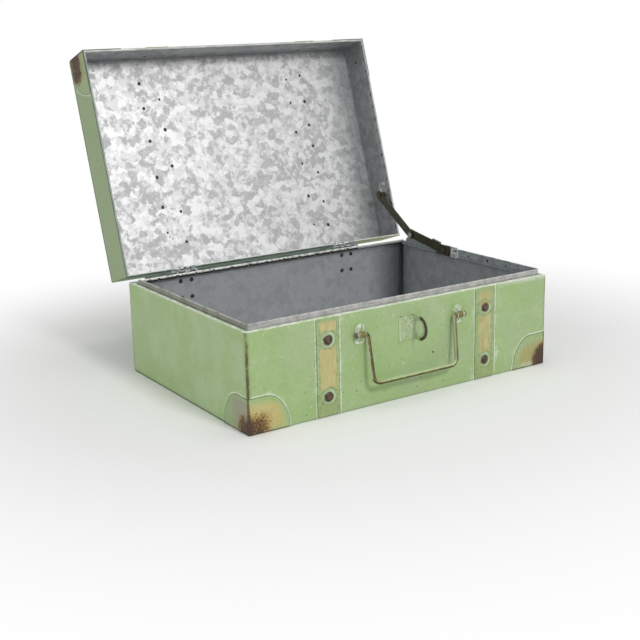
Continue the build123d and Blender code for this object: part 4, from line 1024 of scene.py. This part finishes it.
LID_TONES = ("#E0E0E0", "#C6C6C5", "#B4B5B4", "#F6F6F6", "#74777A")
mark_dark = metal_finish("dark marks", ("#2C2925", "#403C35", "#171612"), (0.4, 0.6), 0.4, 0.5)
FINISHES = {
    sheet_finish(
        "body sheet", False, body_inside, ("#ACAFB1", "#A5A9AA", "#9DA1A3", "#B2B5B7", "#3B3E40"),
        10, body_shade, 0.25, (0.5, 0.6), body_ledge,
    ): "body_wrap end_wall_left end_wall_right",
    sheet_finish(
        "lid sheet", True, lid_inside, LID_TONES, 8.5, lid_shade, 0.3, (0.42, 0.55), lid_rim
    ): "lid_wrap",
    sheet_finish(
        "lid end sheet", True, lid_end_inside, LID_TONES, 8.5, lid_shade, 0.3, (0.45, 0.58),
        lid_end_rim,
    ): "lid_end_left lid_end_right",
    collar_finish("collar zinc"): "rim_collar",
    strip_finish("rim strip"): "rear_rim_strip",
    strap_finish("strap paint", False): "front_strap_left front_strap_right",
    strap_finish("lid strap paint", True): "lid_strap_left lid_strap_right",
    cap_finish("corner paint", False, BODY_CAP): "body_corner_left body_corner_right",
    cap_finish("lid corner paint", True, LID_CAP): "lid_corner_left lid_corner_right",
    rivet_finish("brown rivet"): "front_strap_rivets",
    rivet_finish("lid brown rivet", True): "lid_strap_rivets",
    metal_finish(
        "hinge zinc", ("#DDE1DF", "#A9B4B1", "#1E2A2C"), (0.28, 0.45), 0.6, 0.6
    ): " ".join((
        "hinge_body_leaf_left hinge_body_leaf_right hinge_lid_leaf_left hinge_lid_leaf_right",
        "hinge_pin_left hinge_pin_right hinge_lid_rivets",
    )),
    hinge_rivet_finish("hinge rivets"): "hinge_body_rivets",
    hasp_finish("hasp zinc"): "hasp_leaf hasp_leaf_rivets hasp_pin hasp_flap",
    staple_finish("staple zinc"): "staple staple_rivets",
    eye_finish("eye brass"): "handle_eye_left handle_eye_right handle_eye_rivets",
    wire_finish("bail brass"): "handle_bail",
    metal_finish(
        "stay olive", ("#3A3826", "#615C44", "#1D1C13"), (0.3, 0.42), 0.6, 0.5
    ): "stay_lower_link stay_upper_link",
    # pivot zinc: its white tones are a painted highlight on bright zinc, its black patches painted
    # dark glints
    metal_finish(
        "pivot zinc", ("#FFFFFF", "#D4D5D4", "#1E1E18"), (0.25, 0.42), 0.15, 0.6
    ): "stay_body_rivets stay_lid_plate stay_lid_rivets elbow_rivet_outer elbow_rivet_inner",
    metal_finish(
        "dark pivots", ("#4A4632", "#6A654C", "#232117"), (0.3, 0.45), 0.6, 0.5
    ): "stay_body_pivot stay_lid_pivot",
    foot_plate_finish("foot plate zinc"): "stay_body_plate",
}
for material, names in FINISHES.items():
    for name in names.split():
        slots = frame["nodes"][name].data.materials
        slots.clear()
        slots.append(material)


# ---------------------------------------------------------------- smooth turns on bent metal
def build_soft_turns():
    """Join a solid's loose triangles and shade its bends smooth, keeping its real edges sharp."""
    inputs = {"Geometry": SHAPE, "Join reach": 0.005 * MM, "Sharp from": radians(32)}
    n, inner = open_group("soft turns", inputs, "GeometryNodeTree")
    inputs = {"Geometry": inner["Geometry"], "Distance": inner["Join reach"]}
    joined = n.add("GeometryNodeMergeByDistance", inputs)
    smooth = n.add("GeometryNodeSetShadeSmooth", {"Geometry": joined, "Shade Smooth": True})
    angle = n.add("GeometryNodeInputMeshEdgeAngle", out="Unsigned Angle")
    inputs = {0: angle, 1: inner["Sharp from"]}
    hard = n.add("FunctionNodeCompare", inputs, operation="GREATER_THAN")
    inputs = {"Geometry": smooth, "Selection": hard, "Shade Smooth": False}
    done = n.add("GeometryNodeSetShadeSmooth", inputs, domain="EDGE")
    return n.give({"Geometry": done}, SHAPE)


soft_turns = build_soft_turns()
for node in frame["nodes"].values():
    turns = node.modifiers.new("soft turns", "NODES")
    turns.node_group = soft_turns


# ---------------------------------------------------------------- small marks in the sheets
def build_marks():
    """One small dome on each point, turned together, each a little larger or smaller."""
    inputs = {
        "Geometry": SHAPE, "Size": PLACE, "Turn": "NodeSocketRotation", "Spread": NUMBER,
        "Seed": "NodeSocketInt", "Finish": "NodeSocketMaterial",
    }
    n, inner = open_group("small marks", inputs, "GeometryNodeTree")
    ball = n.add("GeometryNodeMeshUVSphere", {"Segments": 12, "Rings": 8, "Radius": 1})
    inputs = {2: 1 - inner["Spread"], 3: inner["Spread"] + 1, "Seed": inner["Seed"]}
    size = n.add("FunctionNodeRandomValue", inputs, out=1, data_type="FLOAT")
    scale = n.add("ShaderNodeVectorMath", {0: inner["Size"], "Scale": size}, operation="SCALE")
    inputs = {
        "Points": inner["Geometry"], "Instance": ball, "Rotation": inner["Turn"], "Scale": scale
    }
    spread = n.add("GeometryNodeInstanceOnPoints", inputs)
    real = n.add("GeometryNodeRealizeInstances", {"Geometry": spread})
    smooth = n.add("GeometryNodeSetShadeSmooth", {"Geometry": real, "Shade Smooth": True})
    inputs = {"Geometry": smooth, "Material": inner["Finish"]}
    done = n.add("GeometryNodeSetMaterial", inputs)
    return n.give({"Geometry": done}, SHAPE)


marks_tree = build_marks()
swing = (
    Matrix.Translation(HINGE) @ Matrix.Rotation(-LID_OPEN, 4, "X") @ Matrix.Translation(-HINGE)
)


def small_marks(name, body, slot_name, points, size, spread, seed, lean=0):
    """Marks at points given in millimetres, on the lid as if shut; size is half the mark's size."""
    turn = Euler((0, lean, 0))
    if body == "lid":
        points = [swing @ Vector(point) for point in points]
        turn = (swing.to_3x3() @ turn.to_matrix()).to_euler()
    mesh = bpy.data.meshes.new(name)
    mesh.from_pydata([Vector(point) * MM for point in points], [], [])
    source = bpy.data.objects.new(name, mesh)
    bpy.context.collection.objects.link(source)
    modifier = source.modifiers.new("marks", "NODES")
    modifier.node_group = marks_tree
    values = {
        "Size": [value * MM for value in size],
        "Turn": list(turn),
        "Spread": spread,
        "Seed": seed,
        "Finish": mark_dark,
    }
    for item in marks_tree.interface.items_tree:
        if item.in_out == "INPUT" and item.name in values:
            modifier[item.identifier] = values[item.name]
    view = source.evaluated_get(bpy.context.evaluated_depsgraph_get())
    made = bpy.data.meshes.new_from_object(view)
    source.modifiers.remove(modifier)
    source.data = made
    bpy.data.meshes.remove(mesh)
    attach(source, body)


# tacks that hold the straps, on the inside of the lid's top: across, and each row from the front
TACKS = {
    -104: (-93, -65, -28, 13, 47, 76),
    -83: (-74, -39.5, 2, 54, 88.6),
    88: (-87.6, -59.4, -23.4, 15, 54.6, 89.8),
    108: (-91.6, -59.7, -30.7, -5, 27.6, 63.5, 92.2),
}
tacks = [(x, y, LID_TOP - SHEET) for x, row in TACKS.items() for y in row]
FRONT_TACKS = ((-95.2, 130), (-73.9, 130), (107.3, 131), (113.9, 121))
front_tacks = [(x, SHEET - HALF_W, z) for x, z in FRONT_TACKS]
end_tack = [(HALF_L - SHEET, -98.1, 118.5)]

# crimps that close the lid's end hems
HEM_CRIMPS = 16
HEM_START, HEM_SPACING = -112, 14.8
hem_x = HALF_L - SHEET - 1 - SHEET
rng = random.Random(11)
crimps = []
for side in (-1, 1):
    for step in range(HEM_CRIMPS):
        y = HEM_START + step * HEM_SPACING + rng.uniform(-0.8, 0.8)
        crimps.append((side * hem_x, y, LID_LOW + 2.2))

# spot welds down the body's rear corners
welds = [
    (side * (HALF_L - 4.4), HALF_W - 2 * SHEET, z)
    for side in (-1, 1)
    for z in (14, 32, 50, 68, 84)
]

# rivet ends and a dent in the right side of the collar, and a fleck of dark paint in front
collar_face = node_box("rim_collar")[1].x - 0.8
collar_dots = [(collar_face, y, z) for y, z in ((-5.8, 97.2), (-67.2, 96.6), (-37.4, 97.4))]
fleck = [(30.6, -HALF_W, 40.2)]

# name, body, slot, points, half sizes, spread of the sizes, seed, lean
MARKS = (
    ("lid_tacks", "lid", "dark_rivet", tacks, (1.6, 1.75, 0.45), 0.3, 3),
    ("lid_front_tacks", "lid", "dark_rivet", front_tacks, (1.6, 0.4, 1.6), 0.2, 4),
    ("lid_end_tack", "lid", "dark_rivet", end_tack, (0.4, 1.6, 1.6), 0.0, 4),
    ("lid_hem_crimps", "lid", "green_paint", crimps, (0.25, 1.9, 0.9), 0.2, 5),
    ("corner_welds", "trunk", "green_paint", welds, (0.9, 0.2, 1.6), 0.25, 7),
    ("collar_dots", "trunk", "green_paint", collar_dots, (0.25, 1.3, 1.3), 0.3, 9),
    ("paint_fleck", "trunk", "green_paint", fleck, (1.5, 0.15, 0.8), 0.0, 2, 0.6),
)
for mark in MARKS:
    small_marks(*mark)


# ---------------------------------------------------------------- floor, light and camera
FLOOR_FADES = (240, 620)  # from here to here, out from the trunk, the floor turns white


def seen(n):
    """Rays that show a surface itself, rather than the light it gives to others."""
    rays = n.outputs("ShaderNodeLightPath")
    return n.either(*(rays[f"Is {kind} Ray"] for kind in ("Camera", "Glossy", "Transmission")))


def build_floor():
    """A wide pale floor that fades into the white room."""
    side = 6
    mesh = bpy.data.meshes.new("floor")
    corners = [(-side, -side, 0), (side, -side, 0), (side, side, 0), (-side, side, 0)]
    mesh.from_pydata(corners, [], [(0, 1, 2, 3)])
    floor = bpy.data.objects.new("floor", mesh)
    bpy.context.collection.objects.link(floor)
    n = Finish("pale floor")
    n.shader.inputs["Specular IOR Level"].default_value = 0.1
    mesh.materials.append(n.dress((0.95, 0.95, 0.95, 1), 0.9))
    away = n.add("ShaderNodeVectorMath", {0: n.place}, out="Value", operation="LENGTH")
    fade = away.step(*FLOOR_FADES) * seen(n)
    white = n.add("ShaderNodeEmission", {"Color": (1, 1, 1, 1), "Strength": 1})
    lit = Value(n, n.shader.outputs[0])
    mixed = n.add("ShaderNodeMixShader", {0: fade, 1: lit, 2: white})
    n.feed(n.tree.nodes["Material Output"].inputs["Surface"], mixed)


def build_world():
    """An even white room: full white to the eye and to reflections, softer as light."""
    world = bpy.data.worlds.new("white room")
    bpy.context.scene.world = world
    world.use_nodes = True
    n = Nodes(world.node_tree)
    background = world.node_tree.nodes["Background"]
    background.inputs["Color"].default_value = (1, 1, 1, 1)
    n.feed(background.inputs["Strength"], seen(n).blend(0.46, 1))


def softbox(name, place, size, power):
    """A large soft square lamp that looks at the trunk."""
    data = bpy.data.lights.new(name, "AREA")
    data.size = size
    data.energy = power
    lamp = bpy.data.objects.new(name, data)
    bpy.context.collection.objects.link(lamp)
    lamp.location = place
    lamp.rotation_euler = (LAMP_TARGET - Vector(place)).to_track_quat("-Z", "Y").to_euler()


# name, place in metres, side in metres, power
LAMPS = (
    ("key", (0.05, -1.7, 1.35), 0.36, 15.5),
    ("side", (-1.8, -0.3, 0.9), 1.2, 3.8),
    ("top", (0.1, -0.1, 1.9), 1.4, 4.4),
)
LAMP_TARGET = Vector((0, 0, 0.15))
CAMERA_PLACE = (-0.6495, -0.9583, 0.3684)
CAMERA_TURNS = (("Z", -33.22), ("X", 90 - 15.28), ("Z", -1.29))  # heading, dip and roll
LENS = 64.06
SENSOR = 36


def build_camera():
    data = bpy.data.cameras.new("view")
    data.lens = LENS
    data.sensor_width = SENSOR
    camera = bpy.data.objects.new("view", data)
    bpy.context.collection.objects.link(camera)
    pose = Matrix.Translation(CAMERA_PLACE)
    for axis, degrees in CAMERA_TURNS:
        pose = pose @ Matrix.Rotation(radians(degrees), 4, axis)
    camera.matrix_world = pose
    bpy.context.scene.camera = camera


build_floor()
build_world()
for lamp in LAMPS:
    softbox(*lamp)
build_camera()

scene = bpy.context.scene
scene.view_settings.view_transform = "Standard"
